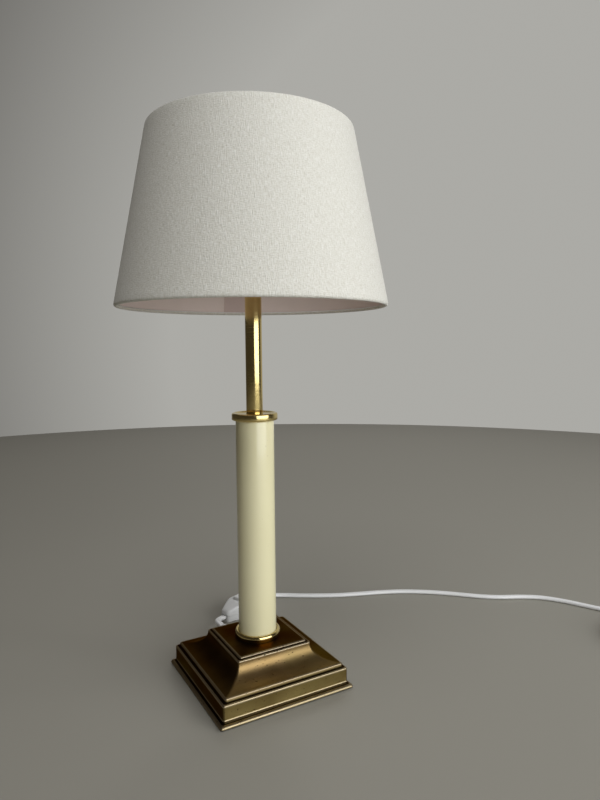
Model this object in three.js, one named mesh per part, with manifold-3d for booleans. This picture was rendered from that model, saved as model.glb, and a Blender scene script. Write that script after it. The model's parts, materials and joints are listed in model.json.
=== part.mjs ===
// Table lamp: a square stepped brass base, a cream lacquered column between two brass collars,
// a slim brass stem and a fabric cone shade, with its flat cord, cord switch and flat plug.
// Millimetres, +Z up. The origin is the centre of the base's underside, the base's sides run
// along X and Y, and the cord leaves the base on its +Y side.
import * as THREE from "three";
import { mergeVertices } from "three/addons/utils/BufferGeometryUtils.js";
import Module from "manifold-3d";

const wasm = await Module();
wasm.setup();

// Gaps between neighbouring pieces
const fitGap = 0.3;
const looseGap = 0.5;

// Base: felt, steel cover plate, pressed brass shell and cast weight. The shell's steps are given
// from its upright band, and each height from the step below.
const feltThickness = 1.2;
const feltInset = 0.8;
const plateThickness = 1.0;
const shellWall = 1.2;
const rimHeight = 0.8;
const bandHalf = 50.2;
const lipReach = 3.3;
const lipHeight = 2.4;
const lipRound = 1.6;
const lipGroove = 1.4;
const bandHeight = 11.1;
const ledgeStep = 2.6;
const ledgeHeight = 3;
const ledgeLand = 1.6;
const coveWidth = 16;
const coveHeight = 12.5;
const plateauStep = 2.4;
const plateauHeight = 2.4;
const cornerRadius = 1.6;
const weightGap = 3;
const bossGap = 1.9;
const weightDraft = 8.5;
const cavityRadius = 13;
const cavityDepth = 9.6;
const cordChannel = 9;
const plateScrewInset = 10;
const plateScrewRadius = 1.5;
const plateScrewLength = 8;

// Threaded rod that clamps the stack, with its nut and washer
const rodRadius = 4.9;
const rodBore = 3.9;
const rodTail = 3;
const nutFlats = 14;
const nutHeight = 4;
const washerRadius = 11;
const washerThickness = 1.5;

// Column, collars and stem
const columnRadius = 14.5;
const columnWall = 1.6;
const columnHeight = 166.2;
const collarRadius = 17.4;
const collarSeat = 1.4;
const collarRim = 5.1;
const spigotHeight = 4;
const upperCollarHeight = 5.8;
const stemRadius = 6.25;
const stemHeight = 97.6;
const stemSeat = 3.2;

// Lampholder for a small screw cap
const neckRadius = 8;
const neckHeight = 7;
const holderRadius = 14.4;
const holderWall = 1.2;
const capHeight = 21;
const rodInHolder = 9.4;
const coreHeight = 6.5;
const coreSeat = 13;
const skirtRadius = 13.9;
const skirtHeight = 20;
const skirtMouth = 9;
const contactHeight = 1.8;
const threadShellRadius = 7.6;
const threadShellWall = 0.5;
const threadShellHeight = 19;
const terminalRadius = 2;
const terminalOffset = 10.2;
const lockScrewRadius = 1.3;
const shadeRingRadius = 20.5;
const shadeRingHeight = 4;
const shadeRingLevel = 2.6;

// Bulb
const bulbCapRadius = 6.8;
const bulbCapHeight = 17;
const bulbCapWall = 0.4;
const bulbTipRadius = 2.3;
const bulbTipHeight = 1.2;
const bulbRadius = 22.5;
const bulbLength = 77;
const bulbGlass = 0.8;

// Shade
const shadeFoot = 285.5;
const shadeHeight = 126;
const shadeBottomRadius = 100;
const shadeTopRadius = 75;
const clothThickness = 0.6;
const liningThickness = 0.4;
const wireRadius = 1.2;
const hemSlack = 0.4;
const hemReturn = 7;
const fitterWidth = 8.2;
const fitterThickness = 1.2;
const armRadius = 1.2;
const armCount = 3;

// Flat cord
const cordWidth = 5.4;
const cordThickness = 3.2;
const outletHeight = 10;
const reliefLength = 20;
const reliefRadius = 4.2;
const reliefTipRadius = 3.4;
const reliefGroove = 3.1;
const innerCordRadius = 2.6;
const innerCordLevel = 6.5;
const innerCordBend = 10;

// Coil: one tube that spirals in on the surface and out again on top
const coilCentre = new THREE.Vector2(321.6, -131.7);
const coilInner = 22.5;
const coilPitch = 6.2;
const coilLift = 0.8;
const coilLayer = 4.2;
const coilSteps = 24;
const coilTurns = 6.25;
const coilStart = 25;
const tieAngle = 160;
const tieWidth = 6;
const tieThickness = 0.4;

// Cord switch
const switchEnd = new THREE.Vector2(13.3, 100.2);
const switchTurn = 24.5;
const switchLength = 56;
const switchEndWidth = 9;
const switchShoulderWidth = 15.5;
const switchWidth = 21;
const switchEndHeight = 10.5;
const switchShoulderHeight = 14;
const switchHeight = 15;
const switchFlat = 22;
const switchWall = 1.7;
const switchSplit = 6;
const switchCordLevel = 5;
const screwPost = 16.5;
const screwPostRadius = 3.6;
const coverScrewRadius = 1.2;
const coverScrewSink = 1.9;
const rockerLength = 21;
const rockerWidth = 10.4;
const rockerDepth = 2.6;
const rockerTilt = 11;
const rockerPivot = 12.2;
const rockerPinRadius = 1.2;
const earThickness = 2.4;
const earHalf = 3;
const contactPlace = 8.5;

// Flat two-pin plug
const plugTurn = -120;
const plugLength = 37;
const plugSleeve = 9;
const plugShoulder = 19;
const plugGrip = 14;
const plugWidth = 35;
const plugThickness = 13.7;
const plugPinRadius = 2;
const plugPinLength = 19;
const plugPinSpan = 18.6;
const plugPinRoot = 6;

// Sizes and heights that follow from the sizes above
const plateTop = feltThickness + plateThickness;
const lipHalf = bandHalf + lipReach;
const ledgeHalf = bandHalf - ledgeStep;
const coveFoot = ledgeHalf - ledgeLand;
const plateauHalf = coveFoot - coveWidth - plateauStep;
const lipTop = rimHeight + lipHeight;
const bandFoot = lipTop + lipGroove;
const bandTop = bandFoot + bandHeight;
const ledgeTop = bandTop + ledgeHeight;
const coveTop = ledgeTop + coveHeight;
const plateauTop = coveTop + plateauHeight;
const weightHalf = bandHalf - shellWall - weightGap;
const weightBossHalf = plateauHalf - shellWall - bossGap;
const slabTop = bandTop - shellWall - fitGap;
const cavityTop = plateauTop - cavityDepth;
const rodFoot = cavityTop - washerThickness - nutHeight - rodTail;
const columnFoot = plateauTop + collarSeat;
const columnTop = columnFoot + columnHeight;
const stemFoot = columnTop + stemSeat;
const holderFoot = stemFoot + stemHeight;
const skirtFoot = holderFoot + capHeight;
const coreFoot = holderFoot + coreSeat;
const coreTop = coreFoot + coreHeight;
const lowerRingFoot = skirtFoot + shadeRingLevel;
const fitterFoot = lowerRingFoot + shadeRingHeight;
const clampRingFoot = fitterFoot + fitterThickness;
const bulbFoot = coreTop + contactHeight + fitGap;
const rodHole = rodRadius + fitGap;
const slopeLength = Math.hypot(shadeBottomRadius - shadeTopRadius, shadeHeight);
const rollRadius = clothThickness + hemSlack + wireRadius;
const liningDepth = clothThickness + fitGap;
const hemDepth = liningDepth + liningThickness + fitGap;
const fitterInner = skirtRadius + looseGap;
const fitterOuter = fitterInner + fitterWidth;
const switchSeam = switchSplit + fitGap;
const coverScrewTop = switchHeight - switchWall - 2;
const rockerReach = Math.hypot(rockerLength / 2, rockerDepth) + fitGap;
const pinReach = rockerWidth / 2 + earThickness;
const degrees = Math.PI / 180;

// Sides of the turned pieces
const roundSides = 36;
const holderSides = 20;
const fineSides = 12;
const shadeSides = 44;

// A geometry as a solid for joining and cutting
function toSolid(geometry) {
  const bare = new THREE.BufferGeometry();
  bare.setAttribute("position", geometry.getAttribute("position"));
  bare.setIndex(geometry.getIndex());
  const merged = mergeVertices(bare, 1e-3);
  const mesh = new wasm.Mesh({
    numProp: 3,
    vertProperties: new Float32Array(merged.attributes.position.array),
    triVerts: new Uint32Array(merged.index.array),
  });
  return new wasm.Manifold(mesh);
}

// A solid as a geometry
function toGeometry(solid) {
  const mesh = solid.getMesh();
  const geometry = new THREE.BufferGeometry();
  geometry.setAttribute("position", new THREE.BufferAttribute(mesh.vertProperties, 3));
  geometry.setIndex(new THREE.BufferAttribute(mesh.triVerts, 1));
  geometry.computeVertexNormals();
  return geometry;
}

function cut(body, ...tools) {
  const left = tools.reduce((solid, tool) => solid.subtract(toSolid(tool)), toSolid(body));
  return toGeometry(left);
}

function join(...bodies) {
  const [first, ...rest] = bodies.map(toSolid);
  return toGeometry(rest.reduce((solid, next) => solid.add(next), first));
}

// A turned piece: its profile of [radius, height] goes up the outside and down the inside
function turned(profile, sides = roundSides) {
  const points = profile.map(([radius, height]) => new THREE.Vector2(radius, height));
  const onAxis = profile[0][0] === 0 && profile[profile.length - 1][0] === 0;
  if (!onAxis) points.push(points[0].clone());
  return new THREE.LatheGeometry(points, sides).rotateX(Math.PI / 2);
}

function tube(outer, inner, foot, top, sides = roundSides) {
  return turned([[inner, foot], [outer, foot], [outer, top], [inner, top]], sides);
}

function rod(radius, foot, top, sides = fineSides) {
  return turned([[0, foot], [radius, foot], [radius, top], [0, top]], sides);
}

function block(low, high) {
  const size = high.map((value, i) => value - low[i]);
  const middle = high.map((value, i) => (value + low[i]) / 2);
  return new THREE.BoxGeometry(...size).translate(...middle);
}

// A skin through rings of points, each counter-clockwise seen from the last ring, with flat ends
function loft(rings) {
  const count = rings[0].length;
  const positions = rings.flat().flatMap((point) => [point.x, point.y, point.z]);
  const faces = [];
  for (let ring = 0; ring < rings.length - 1; ring += 1) {
    for (let i = 0; i < count; i += 1) {
      const a = ring * count + i;
      const b = ring * count + ((i + 1) % count);
      faces.push(a, b, b + count, a, b + count, a + count);
    }
  }
  const last = (rings.length - 1) * count;
  for (let i = 1; i < count - 1; i += 1) {
    faces.push(0, i + 1, i);
    faces.push(last, last + i, last + i + 1);
  }
  const geometry = new THREE.BufferGeometry();
  geometry.setAttribute("position", new THREE.Float32BufferAttribute(positions, 3));
  geometry.setIndex(faces);
  geometry.computeVertexNormals();
  return geometry;
}

// A rectangle with rounded corners as points, counter-clockwise
function roundedRectangle(halfLength, halfWidth, radius, steps = 2) {
  const points = [];
  const corners = [[1, 1, 0], [-1, 1, 90], [-1, -1, 180], [1, -1, 270]];
  for (const [sideX, sideY, from] of corners) {
    for (let i = 0; i <= steps; i += 1) {
      const angle = (from + (90 * i) / steps) * degrees;
      const x = sideX * (halfLength - radius) + radius * Math.cos(angle);
      const y = sideY * (halfWidth - radius) + radius * Math.sin(angle);
      points.push(new THREE.Vector2(x, y));
    }
  }
  return points;
}

function squareRing(half, height) {
  const outline = roundedRectangle(half, half, cornerRadius);
  return outline.map((point) => new THREE.Vector3(point.x, point.y, height));
}

function squareLoft(profile) {
  return loft(profile.map(([half, height]) => squareRing(half, height)));
}

// Points of a quarter ellipse about a centre, from one angle to another
function arc(centre, across, up, from, to, steps) {
  const points = [];
  for (let i = 0; i <= steps; i += 1) {
    const angle = (from + ((to - from) * i) / steps) * degrees;
    points.push([centre[0] + across * Math.cos(angle), centre[1] + up * Math.sin(angle)]);
  }
  return points;
}

// The hollow quarter curve between the ledge and the plateau, moved inwards by a wall
function cove(wall, steps) {
  return arc([coveFoot, coveTop], coveWidth + wall, coveHeight + wall, 270, 180, steps);
}

function baseOutside() {
  const edge = 1;
  return [
    [lipHalf - 0.6, rimHeight],
    [lipHalf, rimHeight + 0.6],
    ...arc([lipHalf - lipRound, lipTop - lipRound], lipRound, lipRound, 0, 90, 3),
    ...arc([lipHalf - lipRound, bandFoot], lipReach - lipRound, lipGroove, 260, 184, 3),
    [bandHalf, bandFoot + 0.6],
    ...arc([bandHalf - edge, bandTop - edge], edge, edge, 0, 90, 3),
    ...arc([bandHalf - edge, bandTop + 0.9], ledgeStep - edge, 0.7, 262, 188, 2),
    ...arc([ledgeHalf - edge, ledgeTop - edge], edge, edge, 0, 75, 3),
    ...cove(0, 7),
    ...arc([coveFoot - coveWidth - 0.9, coveTop + 0.2], 0.9, 0.9, 0, 80, 3),
    ...arc([plateauHalf + 0.9, coveTop + 1.7], 0.7, 0.6, 265, 190, 2),
    ...arc([plateauHalf - 0.8, plateauTop - 0.8], 0.8, 0.8, 0, 90, 3),
  ];
}

function baseInside() {
  return [
    [lipHalf - shellWall, rimHeight - 1],
    [lipHalf - shellWall, plateTop],
    [bandHalf - shellWall, bandFoot - 1],
    [bandHalf - shellWall, bandTop - shellWall],
    ...cove(shellWall, 5),
    [plateauHalf - shellWall, plateauTop - shellWall],
  ];
}

function brassShell() {
  const hollow = squareLoft(baseInside());
  const rodPassage = rod(rodHole, cavityTop, plateauTop + 1);
  const outlet = rod(reliefGroove + fitGap, 0, 2 * shellWall + 2);
  outlet.rotateX(-Math.PI / 2).translate(0, bandHalf - shellWall - 1, outletHeight);
  return cut(squareLoft(baseOutside()), hollow, rodPassage, outlet);
}

function screwPlaces() {
  return [-1, 1].map((side) => side * (weightHalf - plateScrewInset));
}

function coverPlate() {
  const half = lipHalf - shellWall - looseGap;
  const plate = squareLoft([[half, feltThickness], [half, plateTop]]);
  const sink = [
    [0, feltThickness - 0.1],
    [2 * plateScrewRadius + fitGap + 0.1, feltThickness - 0.1],
    [plateScrewRadius + fitGap, plateTop + 0.1],
    [0, plateTop + 0.1],
  ];
  return cut(plate, ...screwPlaces().map((x) => turned(sink, fineSides).translate(x, 0, 0)));
}

function plateScrew(x) {
  const headFoot = feltThickness + 0.1;
  const profile = [
    [0, headFoot],
    [2 * plateScrewRadius, headFoot],
    [plateScrewRadius, plateTop],
    [plateScrewRadius, plateTop + plateScrewLength - 1],
    [plateScrewRadius / 2, plateTop + plateScrewLength],
    [0, plateTop + plateScrewLength],
  ];
  return turned(profile, fineSides).translate(x, 0, 0);
}

function castWeight() {
  const bossTop = plateauTop - shellWall;
  const slab = squareLoft([[weightHalf, plateTop], [weightHalf, slabTop]]);
  const boss = squareLoft([[weightBossHalf + weightDraft, slabTop - 1], [weightBossHalf, bossTop]]);
  const cavity = rod(cavityRadius, plateTop - 1, cavityTop, holderSides);
  const passage = rod(rodHole, plateTop, bossTop + 1);
  const channel = block(
    [-cordChannel / 2, 0, plateTop - 1],
    [cordChannel / 2, weightHalf + 1, slabTop + 1],
  );
  const screwHoles = screwPlaces().map((x) =>
    rod(plateScrewRadius + fitGap, plateTop - 1, plateTop + plateScrewLength + 1).translate(x, 0, 0),
  );
  return cut(join(slab, boss), cavity, passage, channel, ...screwHoles);
}

function rodNut() {
  const foot = cavityTop - washerThickness - nutHeight;
  const radius = nutFlats / 2 / Math.cos(30 * degrees);
  const hexagon = rod(radius, foot, foot + nutHeight, 6);
  return cut(hexagon, rod(rodHole, foot - 1, foot + nutHeight + 1));
}

function rodWasher() {
  return tube(washerRadius, rodHole, cavityTop - washerThickness, cavityTop, holderSides);
}

function lowerCollar() {
  const z = plateauTop;
  const inside = columnRadius + fitGap + 0.1;
  const spigot = columnRadius - columnWall - fitGap;
  return turned([
    [rodHole, z],
    [collarRadius - 1.2, z],
    ...arc([collarRadius - 1.4, z + collarRim - 2.4], 1.5, 2.4, -50, 95, 4),
    [inside, z + collarRim - 0.6],
    [inside, z + collarSeat],
    [spigot, z + collarSeat],
    [spigot, z + collarSeat + spigotHeight],
    [rodHole, z + collarSeat + spigotHeight],
  ]);
}

function upperCollar() {
  const z = columnTop;
  const spigot = columnRadius - columnWall - fitGap;
  const dish = upperCollarHeight - 1;
  const socket = stemRadius + fitGap;
  return turned([
    [rodHole, z - spigotHeight],
    [spigot, z - spigotHeight],
    [spigot, z],
    [columnRadius + 0.7, z],
    ...arc([collarRadius - 2.2, z + 3], 2.2, 2.8, -55, 100, 5),
    [collarRadius - 3.4, z + dish + 0.4],
    [collarRadius - 4.4, z + dish],
    [socket, z + dish],
    [socket, z + stemSeat],
    [rodHole, z + stemSeat],
  ]);
}

function lacqueredColumn() {
  return tube(columnRadius, columnRadius - columnWall, columnFoot, columnTop);
}

function brassStem() {
  return tube(stemRadius, rodRadius + 0.4, stemFoot, holderFoot);
}

function threadedRod() {
  return tube(rodRadius, rodBore, rodFoot, holderFoot + rodInHolder, fineSides);
}

function holderCap() {
  const z = holderFoot;
  const shoulder = z + neckHeight + 4;
  const inner = holderRadius - holderWall;
  const cup = turned([
    [rodHole, z],
    [neckRadius, z],
    [neckRadius, z + neckHeight - 0.5],
    [neckRadius + 0.8, z + neckHeight],
    [holderRadius - 2.2, shoulder - 1.2],
    [holderRadius - 0.6, shoulder],
    [holderRadius, shoulder + 1.6],
    [holderRadius, skirtFoot],
    [inner, skirtFoot],
    [inner, shoulder + 1.8],
    [holderRadius - 3, shoulder + 0.2],
    [neckRadius, z + neckHeight + 1.6],
    [rodHole, z + neckHeight + 1.6],
  ], holderSides);
  const screwHole = rod(lockScrewRadius + fitGap, 0, neckRadius + 2).rotateY(90 * degrees);
  return cut(cup, screwHole.translate(0, 0, z + neckHeight / 2));
}

function lockScrew() {
  const screw = rod(lockScrewRadius, rodHole, neckRadius + 0.8).rotateY(90 * degrees);
  return screw.translate(0, 0, holderFoot + neckHeight / 2);
}

function holderCore() {
  const body = turned([
    [0, coreFoot],
    [holderRadius - holderWall - 1.6, coreFoot],
    [holderRadius - holderWall - looseGap, coreFoot + 1.2],
    [holderRadius - holderWall - looseGap, coreTop],
    [0, coreTop],
  ], holderSides);
  const wireHoles = [-1, 1].map((side) =>
    rod(1.4, coreFoot - 1, coreTop + 1, 12).translate(0, side * terminalOffset, 0),
  );
  const screwHoles = [-1, 1].map((side) =>
    rod(terminalRadius / 2 + fitGap, coreTop - 4, coreTop + 1).translate(side * terminalOffset, 0, 0),
  );
  return cut(body, ...wireHoles, ...screwHoles);
}

function terminalScrew(side) {
  const screw = turned([
    [0, coreTop - 3.5],
    [terminalRadius / 2, coreTop - 3.5],
    [terminalRadius / 2, coreTop],
    [terminalRadius, coreTop],
    [terminalRadius, coreTop + 1],
    [0, coreTop + 1],
  ], fineSides);
  return screw.translate(side * terminalOffset, 0, 0);
}

// The sprung strip under the bulb's tip
function centreContact() {
  const strip = block([-1.5, -4, coreTop], [1.5, 4, coreTop + 0.6]);
  const button = turned([
    [0, coreTop + 0.3],
    [1.4, coreTop + 0.3],
    [1.1, coreTop + contactHeight],
    [0, coreTop + contactHeight],
  ], fineSides);
  return join(strip, button);
}

function threadShell() {
  const bore = threadShellRadius - threadShellWall;
  return tube(threadShellRadius, bore, coreTop, coreTop + threadShellHeight, holderSides);
}

function holderSkirt() {
  const top = skirtFoot + skirtHeight;
  const inner = skirtRadius - 1;
  return turned([
    [inner, skirtFoot],
    [skirtRadius, skirtFoot],
    [skirtRadius, top - 0.6],
    [skirtRadius - 0.6, top],
    [skirtMouth, top],
    [skirtMouth, top - 1.2],
    [inner, top - 1.2],
  ], holderSides);
}

function shadeRing(foot) {
  const bore = skirtRadius + fitGap;
  return turned([
    [bore, foot],
    [shadeRingRadius - 0.5, foot],
    [shadeRingRadius, foot + 0.5],
    [shadeRingRadius, foot + shadeRingHeight - 0.5],
    [shadeRingRadius - 0.5, foot + shadeRingHeight],
    [bore, foot + shadeRingHeight],
  ], holderSides);
}

function bulbTip() {
  return turned([
    [0, bulbFoot],
    [bulbTipRadius * 0.7, bulbFoot],
    [bulbTipRadius, bulbFoot + 0.5],
    [bulbTipRadius, bulbFoot + bulbTipHeight],
    [0, bulbFoot + bulbTipHeight],
  ], fineSides);
}

function bulbCap() {
  const foot = bulbFoot + bulbTipHeight;
  const top = foot + bulbCapHeight;
  const inner = bulbCapRadius - bulbCapWall;
  return turned([
    [0, foot],
    [bulbTipRadius + 1.7, foot],
    [bulbCapRadius, foot + 2.4],
    [bulbCapRadius, top],
    [inner, top],
    [inner, foot + 3],
    [0, foot + 3],
  ], holderSides);
}

// The round glass, open at its neck inside the cap
function bulbGlassShell() {
  const middle = bulbFoot + bulbLength - bulbRadius;
  const capTop = bulbFoot + bulbTipHeight + bulbCapHeight;
  const neck = bulbCapRadius - bulbCapWall - fitGap;
  const flare = neck + 3.4;
  const inside = bulbRadius - bulbGlass;
  const hollow = arc([0, middle], inside, inside, 90, -38, 8);
  const swell = arc([0, middle], bulbRadius, bulbRadius, -38, 90, 8);
  hollow[0][0] = 0;
  swell[swell.length - 1][0] = 0;
  return turned([
    ...hollow,
    [flare - bulbGlass, capTop + 2.6],
    [neck - bulbGlass, capTop + 1],
    [neck - bulbGlass, capTop - 4],
    [neck, capTop - 4],
    [neck, capTop + 0.4],
    [flare, capTop + 2],
    ...swell,
  ], holderSides);
}

// A point of the shade's cloth: along the slope from its foot, and inwards from its outer face
function onShade(along, inwards) {
  const lean = (shadeTopRadius - shadeBottomRadius) / slopeLength;
  const rise = shadeHeight / slopeLength;
  return [
    shadeBottomRadius + lean * along - rise * inwards,
    shadeFoot + rise * along + lean * inwards,
  ];
}

// The hem's roll: cloth wrapped round a wire at either end of the slope
function hemRoll(end, radius, from, to) {
  const middle = end < 0 ? rollRadius : slopeLength - rollRadius;
  return arc([0, 0], radius, radius, from, to, 3).map(([inwards, along]) =>
    onShade(middle + end * along, rollRadius - inwards),
  );
}

// The cover is one sheet, rolled over a wire at the top and the bottom
function shadeCover() {
  const inner = rollRadius - clothThickness;
  const reach = rollRadius + hemReturn;
  return turned([
    ...hemRoll(1, rollRadius, 0, 180),
    onShade(slopeLength - reach, hemDepth + clothThickness),
    onShade(slopeLength - reach, hemDepth),
    ...hemRoll(1, inner, 180, 0),
    ...hemRoll(-1, inner, 0, 180),
    onShade(reach, hemDepth),
    onShade(reach, hemDepth + clothThickness),
    ...hemRoll(-1, rollRadius, 180, 0),
  ], shadeSides);
}

function shadeLining() {
  const foot = rollRadius + wireRadius + fitGap;
  const top = slopeLength - foot;
  const back = liningDepth + liningThickness;
  return turned([
    onShade(foot, back),
    onShade(foot, liningDepth),
    onShade(top, liningDepth),
    onShade(top, back),
  ], shadeSides);
}

function shadeWire(end) {
  const [radius, height] = onShade(end < 0 ? rollRadius : slopeLength - rollRadius, rollRadius);
  return new THREE.TorusGeometry(radius, wireRadius, 5, shadeSides).translate(0, 0, height);
}

function fitterRing() {
  return tube(fitterOuter, fitterInner, fitterFoot, fitterFoot + fitterThickness, holderSides);
}

function polygon(halfWidth, halfHeight, sides) {
  const points = [];
  for (let i = 0; i < sides; i += 1) {
    const angle = (2 * Math.PI * (i + 0.5)) / sides;
    points.push(new THREE.Vector2(halfWidth * Math.cos(angle), halfHeight * Math.sin(angle)));
  }
  return points;
}

function extrudedAlong(points, section, steps) {
  const path = new THREE.CatmullRomCurve3(points.map((point) => new THREE.Vector3(...point)));
  return new THREE.ExtrudeGeometry(new THREE.Shape(section), { steps, extrudePath: path });
}

// One arm climbs from the fitter ring to the rolled top edge
function shadeArm(number) {
  const level = fitterFoot + fitterThickness / 2;
  const [endRadius, endHeight] = onShade(slopeLength - rollRadius - 1, 2 * rollRadius + armRadius);
  const kneeRadius = fitterOuter + 8;
  const route = [
    [fitterOuter + fitGap, 0, level],
    [fitterOuter + 4, 0, level],
    [kneeRadius, 0, level + 5],
    [(kneeRadius + endRadius) / 2, 0, (level + 5 + endHeight) / 2],
    [endRadius, 0, endHeight],
  ];
  const arm = extrudedAlong(route, polygon(armRadius, armRadius, 8), 16);
  return arm.rotateZ((90 + (360 * number) / armCount) * degrees);
}

// The moulded strain relief that snaps into the shell's rear wall
function strainRelief() {
  const inner = bandHalf - shellWall - fitGap;
  const outer = bandHalf + looseGap;
  const relief = turned([
    [0, inner - 2],
    [reliefRadius, inner - 2],
    [reliefRadius, inner],
    [reliefGroove, inner],
    [reliefGroove, outer],
    [reliefRadius, outer],
    [reliefRadius, outer + 2],
    [reliefRadius - 0.3, outer + 2.6],
    [reliefTipRadius, bandHalf + reliefLength],
    [0, bandHalf + reliefLength],
  ], fineSides);
  return relief.rotateX(-Math.PI / 2).translate(0, 0, outletHeight);
}

// Rings of a section set across a path, upright to a fixed direction
function swept(points, section, upright) {
  const rings = points.map((point, i) => {
    const before = points[Math.max(i - 1, 0)];
    const after = points[Math.min(i + 1, points.length - 1)];
    const ahead = after.clone().sub(before).normalize();
    const across = upright.clone().cross(ahead).normalize();
    const up = ahead.clone().cross(across);
    return section.map((corner) =>
      point.clone().addScaledVector(across, corner.x).addScaledVector(up, corner.y),
    );
  });
  return loft(rings);
}

// The cord inside the lamp: from the relief through the weight's channel and up the hollow rod
function innerCord() {
  const start = bandHalf - shellWall - 2 - 2 * fitGap;
  const bendCentre = [innerCordBend, innerCordLevel + innerCordBend];
  const bend = arc(bendCentre, innerCordBend, innerCordBend, 270, 180, 6);
  const route = [
    [start, outletHeight],
    [start - 5, outletHeight],
    [start - 12, outletHeight - 1],
    [start - 20, innerCordLevel + 0.8],
    [start - 28, innerCordLevel],
    ...bend,
    [0, coreFoot - looseGap],
  ];
  const points = route.map(([y, z]) => new THREE.Vector3(0, y, z));
  const side = new THREE.Vector3(1, 0, 0);
  return swept(points, polygon(innerCordRadius, innerCordRadius, 8), side);
}

// The free cord's stretches, as points chosen by hand on the surface behind and beside the lamp
const leadRoute = [
  [0, 70.5, 10], [0, 74, 10], [0, 78, 10], [0.6, 84.4, 9.2], [2.7, 90.1, 7.8],
  [6.2, 95.1, 6.3], [10.3, 98.6, 5.3], [13.0, 100.05, 5],
];
const runRoute = [
  [64.6, 123.55, 5], [69.5, 125.6, 4.7], [75.5, 127, 3.4], [82.5, 126.2, 2.1], [92, 121.4, 1.7],
  [102.3, 114.2, 1.7], [120, 103.6, 1.7], [138, 94.2, 1.7], [157.8, 86.4, 1.7], [178.2, 78.6, 1.7],
  [197.4, 69.6, 1.7], [214.6, 58.6, 1.7], [230.6, 45.9, 1.7], [245.4, 31.8, 1.7], [259.6, 17.9, 1.7],
  [275.2, 6.3, 1.7], [293, -3.2, 1.7], [308.6, -14.6, 1.7], [320, -29.6, 1.7], [328.4, -46, 1.7],
  [335.6, -61.5, 1.7], [343, -77.8, 1.9], [350.4, -93.8, 2.3], [357.4, -108.8, 2.4],
];
const tailRoute = [
  [334.1, -172.1, 6.6], [330.5, -173.8, 6.6], [325.3, -176.9, 6.7], [320.8, -181, 6.8],
  [317.2, -186, 6.85], [314.4, -190.8, 6.85], [311.9, -195.2, 6.85],
];

// A flat cord's section, its first axis upright
function flatSection() {
  return polygon(cordThickness / 2, cordWidth / 2, 8);
}

function routeLength(route) {
  return route.slice(1).reduce((sum, point, i) => {
    const before = new THREE.Vector3(...route[i]);
    return sum + before.distanceTo(new THREE.Vector3(...point));
  }, 0);
}

function freeCord(route) {
  const steps = Math.min(80, Math.ceil(routeLength(route) / (2 * cordWidth)) + 2);
  return extrudedAlong(route, flatSection(), steps);
}

// The coil's path, clockwise seen from above, with a straight end of one cord width at each end
function coilPath() {
  const count = coilTurns * coilSteps;
  const middle = count / 2;
  const halfClimb = coilSteps / 4;
  const floor = coilLift + cordThickness / 2;
  const points = [];
  for (let i = 0; i <= count; i += 1) {
    const angle = (coilStart - (360 * i) / coilSteps) * degrees;
    const radius = coilInner + (coilPitch * Math.abs(i - middle)) / coilSteps;
    const climbed = THREE.MathUtils.smoothstep(i, middle - halfClimb, middle + halfClimb);
    const x = coilCentre.x + radius * Math.cos(angle);
    const y = coilCentre.y + radius * Math.sin(angle);
    points.push(new THREE.Vector3(x, y, floor + coilLayer * climbed));
  }
  const endAngle = (coilStart - 360 * coilTurns) * degrees;
  const ahead = (angle) => new THREE.Vector3(Math.sin(angle), -Math.cos(angle), 0);
  const first = points[0].clone().addScaledVector(ahead(coilStart * degrees), -cordWidth);
  const last = points[count].clone().addScaledVector(ahead(endAngle), cordWidth);
  return [first, ...points, last];
}

const coilSection = [[1, 0], [0.5, 1], [-0.5, 1], [-1, 0], [-0.5, -1], [0.5, -1]].map(
  ([x, y]) => new THREE.Vector2((x * cordWidth) / 2, (y * cordThickness) / 2),
);

function cordCoil() {
  return swept(coilPath(), coilSection, new THREE.Vector3(0, 0, 1));
}

// The least distance between two turns of the coil, over the corners and edge middles of its rings
function coilSelfGap() {
  const corners = cordCoil().getAttribute("position");
  const sides = coilSection.length;
  const rings = corners.count / sides;
  const corner = (ring, i) => new THREE.Vector3().fromBufferAttribute(corners, ring * sides + (i % sides));
  const samples = [];
  for (let ring = 0; ring < rings; ring += 1) {
    for (let i = 0; i < sides; i += 1) {
      const here = corner(ring, i);
      samples.push({ ring, at: here }, { ring, at: here.clone().lerp(corner(ring, i + 1), 0.5) });
    }
  }
  let least = Infinity;
  for (const a of samples) {
    for (const b of samples) {
      if (b.ring - a.ring > coilSteps / 2) least = Math.min(least, a.at.distanceTo(b.at));
    }
  }
  return least;
}

// A thin strap round all the coil's turns
function coilTie() {
  const spread = (coilPitch * (coilTurns / 2 - 0.5)) / 2;
  const halfDeep = spread + cordWidth / 2 + fitGap;
  const middle = coilInner + spread + coilPitch * 0.3;
  const low = coilLift - fitGap - 0.05;
  const high = coilLift + coilLayer + cordThickness + fitGap;
  const strap = block(
    [middle - halfDeep - tieThickness, -tieWidth / 2, low - tieThickness],
    [middle + halfDeep + tieThickness, tieWidth / 2, high + tieThickness],
  );
  const inside = block([middle - halfDeep, -tieWidth, low], [middle + halfDeep, tieWidth, high]);
  const tie = cut(strap, inside).rotateZ(tieAngle * degrees);
  return tie.translate(coilCentre.x, coilCentre.y, 0);
}

// A ring of a body that lies along its own X axis
function crossRing(x, halfWidth, low, high, radius) {
  const outline = roundedRectangle(halfWidth, (high - low) / 2, radius, 2);
  return outline.map((point) => new THREE.Vector3(x, point.x, (low + high) / 2 + point.y));
}

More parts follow.
